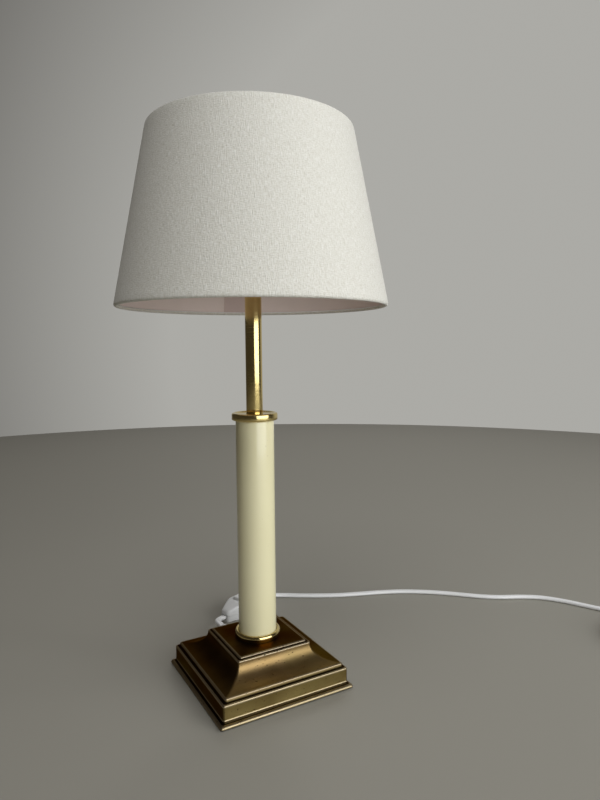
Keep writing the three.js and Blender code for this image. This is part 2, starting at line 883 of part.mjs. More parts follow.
// The switch's stations along its length: [x, half width, height], blunt ends and a flat middle
function switchStations(inset) {
  const end = switchLength / 2 - inset;
  const flat = switchFlat / 2;
  const stations = [
    [end, switchEndWidth / 2 - inset, switchEndHeight - inset],
    [(end + flat) / 2, switchShoulderWidth / 2 - inset, switchShoulderHeight - inset],
    [flat, switchWidth / 2 - inset, switchHeight - inset],
  ];
  const mirrored = stations.map(([x, half, height]) => [-x, half, height]);
  return [...mirrored, ...stations.reverse()];
}

function switchHollow(low) {
  const inset = switchWall;
  return loft(switchStations(inset).map(([x, half, height]) => crossRing(x, half, low, height, 0.8)));
}

function switchBase() {
  const rings = switchStations(0).map(([x, half]) => crossRing(x, half, 0, switchSplit, 1.2));
  const tub = cut(loft(rings), switchHollow(switchWall));
  const posts = [-1, 1].map((side) =>
    rod(screwPostRadius, switchWall / 2, switchSplit).translate(side * screwPost, 0, 0),
  );
  const holes = [-1, 1].map((side) =>
    rod(coverScrewRadius + fitGap, -1, switchSplit + 1).translate(side * screwPost, 0, 0),
  );
  const sinks = [-1, 1].map((side) =>
    rod(2 * coverScrewRadius + fitGap, -1, coverScrewSink).translate(side * screwPost, 0, 0),
  );
  const slots = [-1, 1].map((side) => cordSlot(side));
  return cut(join(tub, ...posts), ...holes, ...sinks, ...slots);
}

// The passage for the cord in one end wall
function cordSlot(side) {
  const half = cordWidth / 2 + fitGap;
  const low = switchCordLevel - cordThickness / 2 - fitGap;
  const high = switchCordLevel + cordThickness / 2 + fitGap;
  const inside = switchLength / 2 - 2 * switchWall;
  const outside = switchLength / 2 + 1;
  const ends = side < 0 ? [-outside, -inside] : [inside, outside];
  return block([ends[0], -half, low], [ends[1], half, high]);
}

// The cover's skin starts under the seam and is cut off level with it
function switchCover() {
  const trim = 3;
  const rings = switchStations(0).map(([x, half, height]) =>
    crossRing(x, half, switchSeam - trim, height, 1.6),
  );
  const below = block([-switchLength, -switchWidth, -trim], [switchLength, switchWidth, switchSeam]);
  const shell = cut(loft(rings), switchHollow(switchSeam - trim - 1), below);
  const posts = [-1, 1].map((side) =>
    rod(screwPostRadius, switchSeam, switchHeight - switchWall).translate(side * screwPost, 0, 0),
  );
  const earLow = rockerPivot - rockerPinRadius - 1.6;
  const earInner = rockerWidth / 2 + fitGap;
  const earOuter = switchWidth / 2 - switchWall / 2;
  const ears = [[-earOuter, -earInner], [earInner, earOuter]].map(([from, to]) =>
    block([-earHalf, from, earLow], [earHalf, to, switchHeight - switchWall / 2]),
  );
  const opening = block(
    [-rockerReach, -rockerWidth / 2 - fitGap, switchHeight - 4],
    [rockerReach, rockerWidth / 2 + fitGap, switchHeight + 1],
  );
  const pinHole = rod(rockerPinRadius + fitGap, -pinReach - fitGap, pinReach + fitGap);
  pinHole.rotateX(90 * degrees).translate(0, 0, rockerPivot);
  const screwHoles = [-1, 1].map((side) =>
    rod(coverScrewRadius + fitGap, 0, coverScrewTop + fitGap).translate(side * screwPost, 0, 0),
  );
  const slots = [-1, 1].map((side) => cordSlot(side));
  return cut(join(shell, ...posts, ...ears), opening, pinHole, ...screwHoles, ...slots);
}

function switchScrew(side) {
  const headTop = coverScrewSink - fitGap;
  const screw = turned([
    [0, headTop - 1.1],
    [2 * coverScrewRadius, headTop - 1.1],
    [2 * coverScrewRadius, headTop],
    [coverScrewRadius, headTop],
    [coverScrewRadius, coverScrewTop],
    [0, coverScrewTop],
  ], fineSides);
  return screw.translate(side * screwPost, 0, 0);
}

function rockerPin() {
  return rod(rockerPinRadius, -pinReach, pinReach).rotateX(90 * degrees).translate(0, 0, rockerPivot);
}

// The rocker's side view about its pivot: two sloping faces that meet in a valley
function switchRocker() {
  const half = rockerLength / 2;
  const foot = [[4, -3], [half - 0.3, -1.5]];
  const edge = [[half, 0], [half, rockerDepth], [half - 0.9, rockerDepth + 0.7]];
  const right = [...foot, ...edge];
  const valley = [0, rockerDepth - 0.6];
  const left = right.map(([x, z]) => [-x, z]).reverse();
  const outline = new THREE.Shape([...right, valley, ...left].map(([x, z]) => new THREE.Vector2(x, z)));
  const body = new THREE.ExtrudeGeometry(outline, { depth: rockerWidth, bevelEnabled: false });
  body.translate(0, 0, -rockerWidth / 2).rotateX(90 * degrees);
  const bore = rod(rockerPinRadius + fitGap, -rockerWidth, rockerWidth).rotateX(90 * degrees);
  return cut(body, bore).rotateY(rockerTilt * degrees).translate(0, 0, rockerPivot);
}

// A fixed contact under one end of the rocker
function switchContact(side) {
  const foot = block([-2.5, -3, switchWall + fitGap], [2.5, 3, switchWall + 2.2]);
  const tongue = block([-1.2, -1.5, switchWall + 2], [1.2, 1.5, switchWall + 3.6]);
  return join(foot, tongue).translate(side * contactPlace, 0, 0);
}

// The plug's stations from its cord end to its face: [x, half width, half thickness]
function plugBody() {
  const half = plugWidth / 2;
  const thick = plugThickness / 2;
  const stations = [
    [0, cordWidth / 2 + 0.5, cordThickness / 2 + 0.7],
    [plugSleeve - 0.5, 4, 3.2],
    [plugSleeve + 0.5, 5.4, 4.2],
    [(plugSleeve + plugShoulder) / 2, half * 0.63, thick - 0.7],
    [plugShoulder, half - 1, thick],
    [plugShoulder + 2, half, thick],
    [plugShoulder + plugGrip, half, thick],
    [plugLength - 1.5, half - 0.6, thick - 0.3],
    [plugLength, half - 2, thick - 1.3],
  ];
  const rings = stations.map(([x, wide, high]) =>
    crossRing(x, wide, thick - high, thick + high, Math.min(2, high * 0.7)),
  );
  return cut(loft(rings), ...[-1, 1].map((side) => pinShape(side, fitGap)));
}

function pinShape(side, extra) {
  const root = plugLength - plugPinRoot - extra;
  const tip = plugLength + plugPinLength;
  const radius = plugPinRadius + extra;
  const pin = turned([
    [0, root],
    [radius, root],
    [radius, tip - 1.2],
    [radius * 0.5, tip],
    [0, tip],
  ], fineSides);
  return pin.rotateY(90 * degrees).translate(0, (side * plugPinSpan) / 2, plugThickness / 2);
}

function material(color, roughness, metalness = 0) {
  return new THREE.MeshStandardMaterial({ color, roughness, metalness });
}

const finish = {
  agedBrass: material(0x7a5c33, 0.38, 1),
  polishedBrass: material(0xd4b25a, 0.15, 1),
  castIron: material(0x3c3b39, 0.7, 0.6),
  steel: material(0x9a9b9c, 0.4, 1),
  greenFelt: material(0x2f3b33, 1),
  creamLacquer: material(0xe9e2c4, 0.28),
  porcelain: material(0xeeebe2, 0.3),
  blackPlastic: material(0x1c1c1c, 0.45),
  opalGlass: material(0xf4f2ec, 0.25),
  linen: material(0xe2dfd4, 0.95),
  liningSheet: material(0xddd0c2, 0.85),
  whiteLacquer: material(0xe8e6e0, 0.4),
  whitePlastic: material(0xefeeec, 0.35),
  nickel: material(0xc4c2bc, 0.25, 1),
};

function piece(name, geometry, surface) {
  const mesh = new THREE.Mesh(geometry, surface);
  mesh.name = name;
  return mesh;
}

function baseGroup() {
  const feltHalf = lipHalf - shellWall - feltInset;
  const group = new THREE.Group();
  group.add(
    piece("base_felt", squareLoft([[feltHalf, 0], [feltHalf, feltThickness]]), finish.greenFelt),
    piece("base_plate", coverPlate(), finish.steel),
    piece("base_weight", castWeight(), finish.castIron),
    piece("base_shell", brassShell(), finish.agedBrass),
    piece("rod_nut", rodNut(), finish.steel),
    piece("rod_washer", rodWasher(), finish.steel),
    piece("strain_relief", strainRelief(), finish.whitePlastic),
    piece("inner_cord", innerCord(), finish.whitePlastic),
  );
  screwPlaces().forEach((x, i) => {
    group.add(piece(`plate_screw_${i + 1}`, plateScrew(x), finish.steel));
  });
  return group;
}

function columnGroup() {
  const group = new THREE.Group();
  group.add(
    piece("threaded_rod", threadedRod(), finish.steel),
    piece("lower_collar", lowerCollar(), finish.polishedBrass),
    piece("column", lacqueredColumn(), finish.creamLacquer),
    piece("upper_collar", upperCollar(), finish.polishedBrass),
    piece("stem", brassStem(), finish.polishedBrass),
  );
  return group;
}

function holderGroup() {
  const group = new THREE.Group();
  group.add(
    piece("holder_cap", holderCap(), finish.polishedBrass),
    piece("holder_lock_screw", lockScrew(), finish.steel),
    piece("holder_core", holderCore(), finish.porcelain),
    piece("centre_contact", centreContact(), finish.nickel),
    piece("thread_shell", threadShell(), finish.nickel),
    piece("holder_skirt", holderSkirt(), finish.polishedBrass),
    piece("lower_shade_ring", shadeRing(lowerRingFoot), finish.polishedBrass),
    piece("clamp_ring", shadeRing(clampRingFoot), finish.polishedBrass),
  );
  [-1, 1].forEach((side, i) => {
    group.add(piece(`terminal_screw_${i + 1}`, terminalScrew(side), finish.nickel));
  });
  return group;
}

function bulbGroup() {
  const group = new THREE.Group();
  group.add(
    piece("bulb_tip", bulbTip(), finish.nickel),
    piece("bulb_cap", bulbCap(), finish.nickel),
    piece("bulb_glass", bulbGlassShell(), finish.opalGlass),
  );
  return group;
}

function shadeGroup() {
  const group = new THREE.Group();
  group.add(
    piece("shade_cover", shadeCover(), finish.linen),
    piece("shade_lining", shadeLining(), finish.liningSheet),
    piece("top_wire", shadeWire(1), finish.whiteLacquer),
    piece("bottom_wire", shadeWire(-1), finish.whiteLacquer),
    piece("fitter_ring", fitterRing(), finish.whiteLacquer),
  );
  for (let i = 0; i < armCount; i += 1) {
    group.add(piece(`shade_arm_${i + 1}`, shadeArm(i), finish.whiteLacquer));
  }
  return group;
}

function cordGroup() {
  const group = new THREE.Group();
  group.add(
    piece("cord_lead", freeCord(leadRoute), finish.whitePlastic),
    piece("cord_run", freeCord(runRoute), finish.whitePlastic),
    piece("cord_coil", cordCoil(), finish.whitePlastic),
    piece("cord_tail", freeCord(tailRoute), finish.whitePlastic),
    piece("cord_tie", coilTie(), finish.blackPlastic),
  );
  return group;
}

function switchGroup() {
  const group = new THREE.Group();
  group.add(
    piece("switch_base", switchBase(), finish.whitePlastic),
    piece("switch_cover", switchCover(), finish.whitePlastic),
    piece("switch_rocker", switchRocker(), finish.whitePlastic),
    piece("rocker_pin", rockerPin(), finish.nickel),
  );
  [-1, 1].forEach((side, i) => {
    group.add(piece(`switch_contact_${i + 1}`, switchContact(side), finish.polishedBrass));
    group.add(piece(`switch_screw_${i + 1}`, switchScrew(side), finish.steel));
  });
  const turn = switchTurn * degrees;
  const half = switchLength / 2;
  group.position.set(switchEnd.x + half * Math.cos(turn), switchEnd.y + half * Math.sin(turn), 0);
  group.rotation.z = turn;
  return group;
}

function plugGroup() {
  const group = new THREE.Group();
  group.add(piece("plug_body", plugBody(), finish.whitePlastic));
  [-1, 1].forEach((side, i) => {
    group.add(piece(`plug_pin_${i + 1}`, pinShape(side, 0), finish.nickel));
  });
  const turn = plugTurn * degrees;
  const [endX, endY] = tailRoute[tailRoute.length - 1];
  group.position.set(endX + fitGap * Math.cos(turn), endY + fitGap * Math.sin(turn), 0);
  group.rotation.z = turn;
  return group;
}

console.log(`cord_coil: least gap to itself ${coilSelfGap().toFixed(2)} mm`);

const tableLamp = new THREE.Group();
tableLamp.add(
  baseGroup(),
  columnGroup(),
  holderGroup(),
  bulbGroup(),
  shadeGroup(),
  cordGroup(),
  switchGroup(),
  plugGroup(),
);

export default tableLamp;
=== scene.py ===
# Table lamp: the finish of every piece, its cloth shade and its cord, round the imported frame.
# Metres, +Z up. The origin is the centre of the base's underside.
import json
import math

import bmesh
import bpy
from mathutils import Matrix, Vector


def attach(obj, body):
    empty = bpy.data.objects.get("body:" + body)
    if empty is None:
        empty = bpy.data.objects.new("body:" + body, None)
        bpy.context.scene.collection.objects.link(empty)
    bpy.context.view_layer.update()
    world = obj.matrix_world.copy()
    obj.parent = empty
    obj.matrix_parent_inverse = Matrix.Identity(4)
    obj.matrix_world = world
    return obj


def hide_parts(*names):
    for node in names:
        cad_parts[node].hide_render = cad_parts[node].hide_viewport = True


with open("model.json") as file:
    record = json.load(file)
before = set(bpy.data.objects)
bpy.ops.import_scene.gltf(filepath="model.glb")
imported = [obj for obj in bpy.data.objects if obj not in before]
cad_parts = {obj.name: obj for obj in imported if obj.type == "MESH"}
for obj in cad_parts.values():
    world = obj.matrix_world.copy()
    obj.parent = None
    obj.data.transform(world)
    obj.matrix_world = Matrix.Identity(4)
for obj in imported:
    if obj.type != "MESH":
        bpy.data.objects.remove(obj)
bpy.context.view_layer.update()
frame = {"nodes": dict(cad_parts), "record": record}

millimetre = 0.001
upwards = Vector((0, 0, 1))

# Points closer than this are one point, in a piece's own units: in a plain shape, and after a cut
same_point = 8e-5
same_cut_point = 0.02

# Camera, from the photograph
focal_length = 27.49
sensor_long_side = 36
camera_place = Vector((-0.19755, -0.41642, 0.25482))
camera_turn = math.radians(-29.66)
camera_pitch = math.radians(-4.811)
camera_roll = math.radians(-0.466)
picture_right = Vector((math.cos(camera_turn), math.sin(camera_turn), 0))
towards_camera = Vector((math.sin(camera_turn), -math.cos(camera_turn), 0))

# Floor, and the height that the lights are aimed at
floor_radius = 1.6
aim_height = 0.25

# Free cord: a flat one, 5.4 by 3.2 mm
cord_width = 0.0054
cord_thickness = 0.0032
cord_groove = 0.00035
lead_route = [
    (0, 0.0705, 0.01), (0, 0.074, 0.01), (0, 0.078, 0.01), (0.0006, 0.0844, 0.0092),
    (0.0027, 0.0901, 0.0078), (0.0062, 0.0951, 0.0063), (0.0103, 0.0986, 0.0053), (0.013, 0.10005, 0.005),
]
run_route = [
    (0.0646, 0.12355, 0.005), (0.0695, 0.1256, 0.0047), (0.0755, 0.127, 0.0034), (0.0825, 0.1262, 0.0021),
    (0.092, 0.1214, 0.0017), (0.1023, 0.1142, 0.0017), (0.12, 0.1036, 0.0017), (0.138, 0.0942, 0.0017),
    (0.1578, 0.0864, 0.0017), (0.1782, 0.0786, 0.0017), (0.1974, 0.0696, 0.0017), (0.2146, 0.0586, 0.0017),
    (0.2306, 0.0459, 0.0017), (0.2454, 0.0318, 0.0017), (0.2596, 0.0179, 0.0017), (0.2752, 0.0063, 0.0017),
    (0.293, -0.0032, 0.0017), (0.3086, -0.0146, 0.0017), (0.32, -0.0296, 0.0017), (0.3284, -0.046, 0.0017),
    (0.3356, -0.0615, 0.0017), (0.343, -0.0778, 0.0019), (0.3504, -0.0938, 0.0023), (0.3574, -0.1088, 0.0024),
]
tail_route = [
    (0.3341, -0.1721, 0.0066), (0.3305, -0.1738, 0.0066), (0.3253, -0.1769, 0.0067), (0.3208, -0.181, 0.0068),
    (0.3172, -0.186, 0.00685), (0.3144, -0.1908, 0.00685), (0.3119, -0.1952, 0.00685),
]
coil_centre = Vector((0.3216, -0.1317, 0))
coil_inner = 0.0225
coil_pitch = 0.0062
coil_lift = 0.0008
coil_layer = 0.0042
coil_turns = 6.25
coil_start = math.radians(25)
coil_steps = 48

# Shade
shade_foot = 0.2855
shade_top = 0.4115
shade_bottom_radius = 0.1
shade_top_radius = 0.075
cloth_thickness = 0.0005
wire_radius = 0.0009
hem_roll = 0.0016
hem_return = 0.0005
lining_thickness = 0.0004
lining_gap = 0.0003
sheet_gap = 0.0002
shade_sides = 240
shade_steps = 40
lap_start = 68
lap_stop = 80
lap_steps = 8

# Pieces below are drawn in millimetres. Base shell: half widths and heights of its steps
shell_wall = 1.2
corner_radius = 1.6
lip_half = 53.5
band_half = 50.2
ledge_half = 47.6
cove_foot = 46.0
cove_width = 16.0
plateau_half = 27.6
rim_height = 0.8
lip_top = 3.2
band_foot = 4.6
band_top = 15.7
ledge_top = 18.7
cove_top = 31.2
plateau_top = 33.6
rod_hole = 5.2
felt_half = 51.5
felt_thickness = 1.2

# Where the shell's brass changes colour, in metres: olive to tan, tan to brown, and the blend at the corners.
# The olive and tan front is a painted reflection, lighter than the brown of the other sides
tan_start = (0.0165, 0.019)
tan_stop = (0.0325, 0.031)
corner_blend = 0.0015

# Strain relief, column, collars and stem
outlet_height = 10
outlet_radius = 3.4
relief_end = 70.2
relief_ribs = 7
column_radius = 14.5
column_bore = 12.9
column_foot = plateau_top + 1.4
column_top = 201.2
collar_belly = 16.0
collar_socket = column_radius + 0.4
collar_spigot = column_bore - 0.3
stem_radius = 6.25
stem_bore = 5.3
stem_foot = column_top + 3.2
holder_foot = 302

# Lampholder, bulb and the shade's fitting
holder_radius = 14.4
skirt_foot = 323
skirt_top = skirt_foot + 20
skirt_radius = 13.9
ring_radius = 20.5
ring_bore = 14.2
ring_height = 4
fitter_thickness = 1.2
lower_ring_foot = 325.6
fitter_foot = lower_ring_foot + ring_height
clamp_ring_foot = fitter_foot + fitter_thickness
fitter_inner = 14.4
fitter_outer = 22.6
bulb_foot = 323.6
bulb_tip_height = 1.2
bulb_length = 77
bulb_radius = 22.5
bulb_cap_radius = 6.8
bulb_cap_height = 17
arm_turns = (90, 210, 330)
arm_radius = 1.2

# Cord switch and plug, each drawn along X and then turned and moved to its place
switch_place = (38.779, 111.811, 24.5)
switch_stations = [(28, 4.5, 10.5), (19.5, 7.6, 13.1), (11, 10.5, 15), (0, 10.5, 15)]
switch_wall = 1.7
switch_slot = 26
switch_screw = 16.5
tub_top = 6.0
cover_foot = 6.3
rocker_tilt = 11
rocker_pivot = 12.2
plug_place = (311.75, -195.46, -120)
plug_length = 37
plug_middle = 6.87
pin_span = 18.6
pin_root = 31

# Tie round the coil, on one side of its hole
tie_middle = 32.4975
tie_half = 11.34
tie_foot = 0.25
tie_top = 8.7
tie_half_width = 3


# Materials


def node(surface, kind, inputs=None, **settings):
    """A shader node with its settings and inputs. An input is a value or another node's output."""
    tree = surface.node_tree
    made = tree.nodes.new(kind)
    for name, value in settings.items():
        setattr(made, name, value)
    for name, value in (inputs or {}).items():
        if isinstance(value, bpy.types.NodeSocket):
            tree.links.new(value, made.inputs[name])
        else:
            made.inputs[name].default_value = value
    return made


def new_surface(name, color, roughness, metallic=0.0, **sockets):
    """A material of one Principled shader, whose plain values are set on its own sockets."""
    surface = bpy.data.materials.new(name)
    surface.use_nodes = True
    shader = surface.node_tree.nodes["Principled BSDF"]
    shader.inputs["Base Color"].default_value = (*color, 1)
    shader.inputs["Roughness"].default_value = roughness
    shader.inputs["Metallic"].default_value = metallic
    for socket, value in sockets.items():
        shader.inputs[socket.replace("_", " ")].default_value = value
    return surface


def feed(surface, socket, output):
    """A node's output led to one of the shader's sockets."""
    shader = surface.node_tree.nodes["Principled BSDF"]
    surface.node_tree.links.new(output, shader.inputs[socket])


def object_place(surface, stretch=(1, 1, 1)):
    """Object coordinates, scaled on each axis."""
    place = node(surface, "ShaderNodeTexCoord").outputs["Object"]
    return node(surface, "ShaderNodeMapping", {"Vector": place, "Scale": stretch}).outputs["Vector"]


def cloth_place(surface, stretch):
    """The piece's own UV map, in metres, scaled across and along the thread."""
    place = node(surface, "ShaderNodeTexCoord").outputs["UV"]
    return node(surface, "ShaderNodeMapping", {"Vector": place, "Scale": (*stretch, 1)}).outputs["Vector"]


def grain(surface, place, scale, detail, roughness=0.5):
    """Soft noise from 0 to 1."""
    inputs = {"Vector": place, "Scale": scale, "Detail": detail, "Roughness": roughness}
    return node(surface, "ShaderNodeTexNoise", inputs).outputs["Fac"]


def mottle(surface, scale, detail, roughness=0.5):
    """The same noise on Object coordinates, with the number of its spots in a metre."""
    return grain(surface, object_place(surface), scale, detail, roughness)


def threads_of(surface, across, along, detail):
    """The same noise on the cloth's own map, with the number of its threads in a metre each way."""
    return grain(surface, cloth_place(surface, (across, along)), 1, detail)


def spread(surface, value, low_end, high_end, to_low=0.0, to_high=1.0):
    """A value's range stretched to another, and held there."""
    inputs = {"Value": value, "From Min": low_end, "From Max": high_end}
    inputs |= {"To Min": to_low, "To Max": to_high}
    return node(surface, "ShaderNodeMapRange", inputs).outputs["Result"]


def combined(surface, first, second, operation="ADD"):
    """Two values, or a value and a number, added or combined another way."""
    return node(surface, "ShaderNodeMath", {0: first, 1: second}, operation=operation).outputs[0]


def blended(surface, amount, first, second):
    """From the first colour to the second by an amount."""
    made = node(surface, "ShaderNodeMix", data_type="RGBA")
    sockets = {s.identifier: s for s in made.inputs}
    surface.node_tree.links.new(amount, sockets["Factor_Float"])
    for color, socket in ((first, sockets["A_Color"]), (second, sockets["B_Color"])):
        if isinstance(color, bpy.types.NodeSocket):
            surface.node_tree.links.new(color, socket)
        else:
            socket.default_value = (*color, 1)
    return next(s for s in made.outputs if s.identifier == "Result_Color")


def laid_over(surface, color, mask, strength, over):
    """A colour with another over it where a mask is high, up to a strength."""
    return blended(surface, combined(surface, mask, strength, "MULTIPLY"), color, over)


def bumped(surface, height, depth):
    """The shader's normal raised by a height from 0 to 1, over a depth in metres."""
    normal = node(surface, "ShaderNodeBump", {"Height": height, "Distance": depth}).outputs["Normal"]
    feed(surface, "Normal", normal)


def linen():
    """Off-white plain weave: fine threads both ways, with thick slubs up the slope."""
    surface = new_surface("linen", (0.8, 0.78, 0.72), 0.95, Sheen_Weight=0.3, Specular_IOR_Level=0.2)
    warp = threads_of(surface, 1900, 260, 2)
    weft = threads_of(surface, 420, 1900, 2)
    slub = spread(surface, threads_of(surface, 1300, 120, 1), 0.6, 0.78)
    cloud = threads_of(surface, 60, 40, 3)
    weave = combined(surface, warp, weft)
    color = blended(surface, spread(surface, weave, 0.65, 1.35), (0.67, 0.64, 0.555), (0.925, 0.91, 0.86))
    color = laid_over(surface, color, slub, 0.3, (0.94, 0.93, 0.9))
    color = blended(surface, spread(surface, cloud, 0.3, 0.7, 0, 0.08), color, (0.74, 0.7, 0.62))
    feed(surface, "Base Color", color)
    bumped(surface, combined(surface, weave, combined(surface, slub, 0.4, "MULTIPLY")), 0.0003)
    return surface


def lining_sheet(name, color):
    """Laminated sheet inside the shade, faintly clouded."""
    surface = new_surface(name, color, 0.8, Specular_IOR_Level=0.3)
    cloud = threads_of(surface, 40, 40, 3)
    darker = tuple(0.92 * c for c in color)
    feed(surface, "Base Color", blended(surface, cloud, darker, color))
    return surface


def polished_brass():
    """Lacquered brass with faint polishing lines round it and small dark spots."""
    surface = new_surface("polished_brass", (0.76, 0.6, 0.26), 0.16, 1.0)
    lines = grain(surface, object_place(surface, (30, 30, 900)), 1, 2)
    spots = spread(surface, mottle(surface, 420, 1), 0.72, 0.78)
    color = blended(surface, mottle(surface, 60, 3), (0.74, 0.58, 0.24), (0.82, 0.66, 0.3))
    feed(surface, "Base Color", laid_over(surface, color, spots, 0.7, (0.2, 0.12, 0.04)))
    feed(surface, "Roughness", spread(surface, lines, 0.3, 0.7, 0.11, 0.2))
    return surface


def painted_reflection_front(surface, axes):
    """Where the reflection is painted: 1 on the shell's front slopes and band, 0 on its other sides and its
    plateau.
    """
    across = node(surface, "ShaderNodeMath", {0: axes["X"]}, operation="ABSOLUTE").outputs[0]
    ahead = combined(surface, combined(surface, axes["Y"], -1.0, "MULTIPLY"), across, "SUBTRACT")
    below = spread(surface, axes["Z"], *tan_stop)
    return combined(surface, spread(surface, ahead, -corner_blend, corner_blend), below, "MULTIPLY")


def aged_brass():
    """Brass browned with age, with blotches and pits. Its front's band is painted olive and its slope tan,
    lighter than its other sides, as a painted reflection; edges are painted bright, for rubbing and as
    painted highlights, and grooves dark, for dirt and as painted shade."""
    surface = new_surface("aged_brass", (0.12, 0.075, 0.03), 0.42, 1.0, Specular_Tint=(0.5, 0.38, 0.25, 1))
    place = node(surface, "ShaderNodeTexCoord").outputs["Object"]
    axes = node(surface, "ShaderNodeSeparateXYZ", {"Vector": place}).outputs
    edge = node(surface, "ShaderNodeAttribute", attribute_name="edge").outputs["Fac"]
    cloud = mottle(surface, 38, 4, 0.6)
    blotch = spread(surface, mottle(surface, 20, 2), 0.52, 0.68)
    pits = spread(surface, mottle(surface, 520, 1), 0.68, 0.76)
    tone = spread(surface, cloud, 0.3, 0.7)
    brown = blended(surface, tone, (0.055, 0.033, 0.014), (0.1, 0.062, 0.027))
    olive = blended(surface, tone, (0.25, 0.18, 0.065), (0.34, 0.26, 0.1))
    tan = blended(surface, tone, (0.27, 0.175, 0.07), (0.38, 0.26, 0.12))
    # Painted reflection: the front's band and slope are painted olive and tan, lighter than the brown of the
    # other sides and the plateau
    front = blended(surface, spread(surface, axes["Z"], *tan_start), olive, tan)
    color = blended(surface, painted_reflection_front(surface, axes), brown, front)
    color = laid_over(surface, color, blotch, 0.4, (0.24, 0.19, 0.06))
    # Painted highlight and wear: edges are lightened as rubbed brass and for the bright lines they reflect;
    # grooves are darkened for dirt and as painted shade
    color = laid_over(surface, color, spread(surface, edge, 0.5, 1.0), 0.6, (0.68, 0.57, 0.4))
    color = laid_over(surface, color, spread(surface, edge, 0.5, 0.0), 0.9, (0.02, 0.012, 0.006))
    color = laid_over(surface, color, pits, 0.7, (0.03, 0.018, 0.008))
    feed(surface, "Base Color", color)
    feed(surface, "Roughness", spread(surface, cloud, 0.3, 0.7, 0.36, 0.48))
    ripple = combined(surface, cloud, 0.3, "MULTIPLY")
    bumped(surface, combined(surface, ripple, pits, "SUBTRACT"), 0.0001)
    return surface


def cream_lacquer():
    """Smooth cream gloss with the faint ripple of sprayed lacquer."""
    surface = new_surface("cream_lacquer", (0.84, 0.78, 0.56), 0.22, Coat_Weight=0.4, Coat_Roughness=0.08)
    specks = spread(surface, mottle(surface, 380, 1), 0.76, 0.8)
    color = blended(surface, mottle(surface, 25, 3), (0.88, 0.81, 0.51), (0.92, 0.86, 0.57))
    feed(surface, "Base Color", laid_over(surface, color, specks, 0.3, (0.5, 0.42, 0.25)))
    bumped(surface, mottle(surface, 160, 2), 0.00003)
    return surface


def moulded_white(name="moulded_white", color=(0.84, 0.84, 0.84), roughness=0.35):
    """White moulded plastic with a faint satin texture."""
    surface = new_surface(name, color, roughness)
    darker = tuple(0.94 * c for c in color)
    feed(surface, "Base Color", blended(surface, mottle(surface, 90, 3), darker, color))
    bumped(surface, mottle(surface, 1800, 2), 0.00002)
    return surface


def cord_sheath():
    """Smooth white flexible sheath."""
    surface = new_surface("cord_sheath", (0.93, 0.93, 0.94), 0.38)
    cloud = mottle(surface, 45, 3)
    feed(surface, "Base Color", blended(surface, cloud, (0.9, 0.9, 0.91), (0.96, 0.96, 0.96)))
    return surface


def plated(name, color, roughness):
    """Plated metal with fine scratches."""
    surface = new_surface(name, color, roughness, 1.0)
    lines = grain(surface, object_place(surface, (300, 300, 1200)), 1, 2)
    feed(surface, "Roughness", spread(surface, lines, 0.3, 0.7, 0.8 * roughness, 1.3 * roughness))
    return surface


def rough_iron():
    """Cast iron in dark paint."""
    surface = new_surface("rough_iron", (0.06, 0.06, 0.06), 0.7, 0.3)
    bumped(surface, mottle(surface, 400, 4), 0.0004)
    return surface


def green_felt():
    """Pressed felt of short matted fibres."""
    surface = new_surface("green_felt", (0.03, 0.05, 0.035), 1.0, Sheen_Weight=0.5)
    fibres = mottle(surface, 1400, 4)
    feed(surface, "Base Color", blended(surface, fibres, (0.02, 0.035, 0.025), (0.05, 0.075, 0.055)))
    bumped(surface, fibres, 0.0002)
    return surface


def glazed_white():
    """Glazed porcelain, very slightly uneven."""
    surface = new_surface("glazed_white", (0.85, 0.83, 0.78), 0.15, Coat_Weight=0.5)
    bumped(surface, mottle(surface, 200, 2), 0.00004)
    return surface


def opal_glass():
    """White glass that spreads the light."""
    return new_surface("opal_glass", (0.88, 0.87, 0.84), 0.12, Subsurface_Weight=0.2, Coat_Weight=0.5)


def strap_weave():
    """Narrow grey woven strap."""
    surface = new_surface("strap_weave", (0.45, 0.45, 0.45), 0.9)
    weave = mottle(surface, 900, 2)
    feed(surface, "Base Color", blended(surface, weave, (0.38, 0.38, 0.38), (0.56, 0.56, 0.55)))
    bumped(surface, weave, 0.0002)
    return surface


# Shapes


def eased(points, radius, steps=4):
    """A closed outline with its corners rounded, as (x, z, edge) points. The edge is 1 on outer corners, 0 on
    inner ones and 0.5 elsewhere; the aged brass paints it bright for wear and painted highlight where high,
    and dark for dirt and painted shade where low."""
    outline = []
    for i, corner in enumerate(points):
        here = Vector(corner)
        before = Vector(points[i - 1]) - here
        after = Vector(points[(i + 1) % len(points)]) - here
        turn = after.x * before.y - after.y * before.x
        start = here + before.normalized() * min(radius, before.length * 0.45)
        end = here + after.normalized() * min(radius, after.length * 0.45)
        for k in range(steps + 1):
            t = k / steps
            point = start * (1 - t) ** 2 + here * (2 * t * (1 - t)) + end * t**2
            wear_and_painted_light = 1.0 if turn > 0 else 0.0
            outline.append((point.x, point.y, wear_and_painted_light if 0 < k < steps else 0.5))
    return outline


def arc(centre, across, up, start, stop, steps, edge=0.5):
    """Points of an ellipse about a centre between two angles in degrees."""
    points = []
    for i in range(steps + 1):
        angle = math.radians(start + (stop - start) * i / steps)
        points.append((centre[0] + across * math.cos(angle), centre[1] + up * math.sin(angle), edge))
    return points


def rounded_rectangle(half_across, half_up, radius):
    """A rectangle with round corners, counter-clockwise."""
    outline = []
    for i, (side, level) in enumerate(((1, 1), (-1, 1), (-1, -1), (1, -1))):
        centre = (side * (half_across - radius), level * (half_up - radius))
        outline += [(x, y) for x, y, _ in arc(centre, radius, radius, 90 * i, 90 * i + 90, 5)]
    return outline


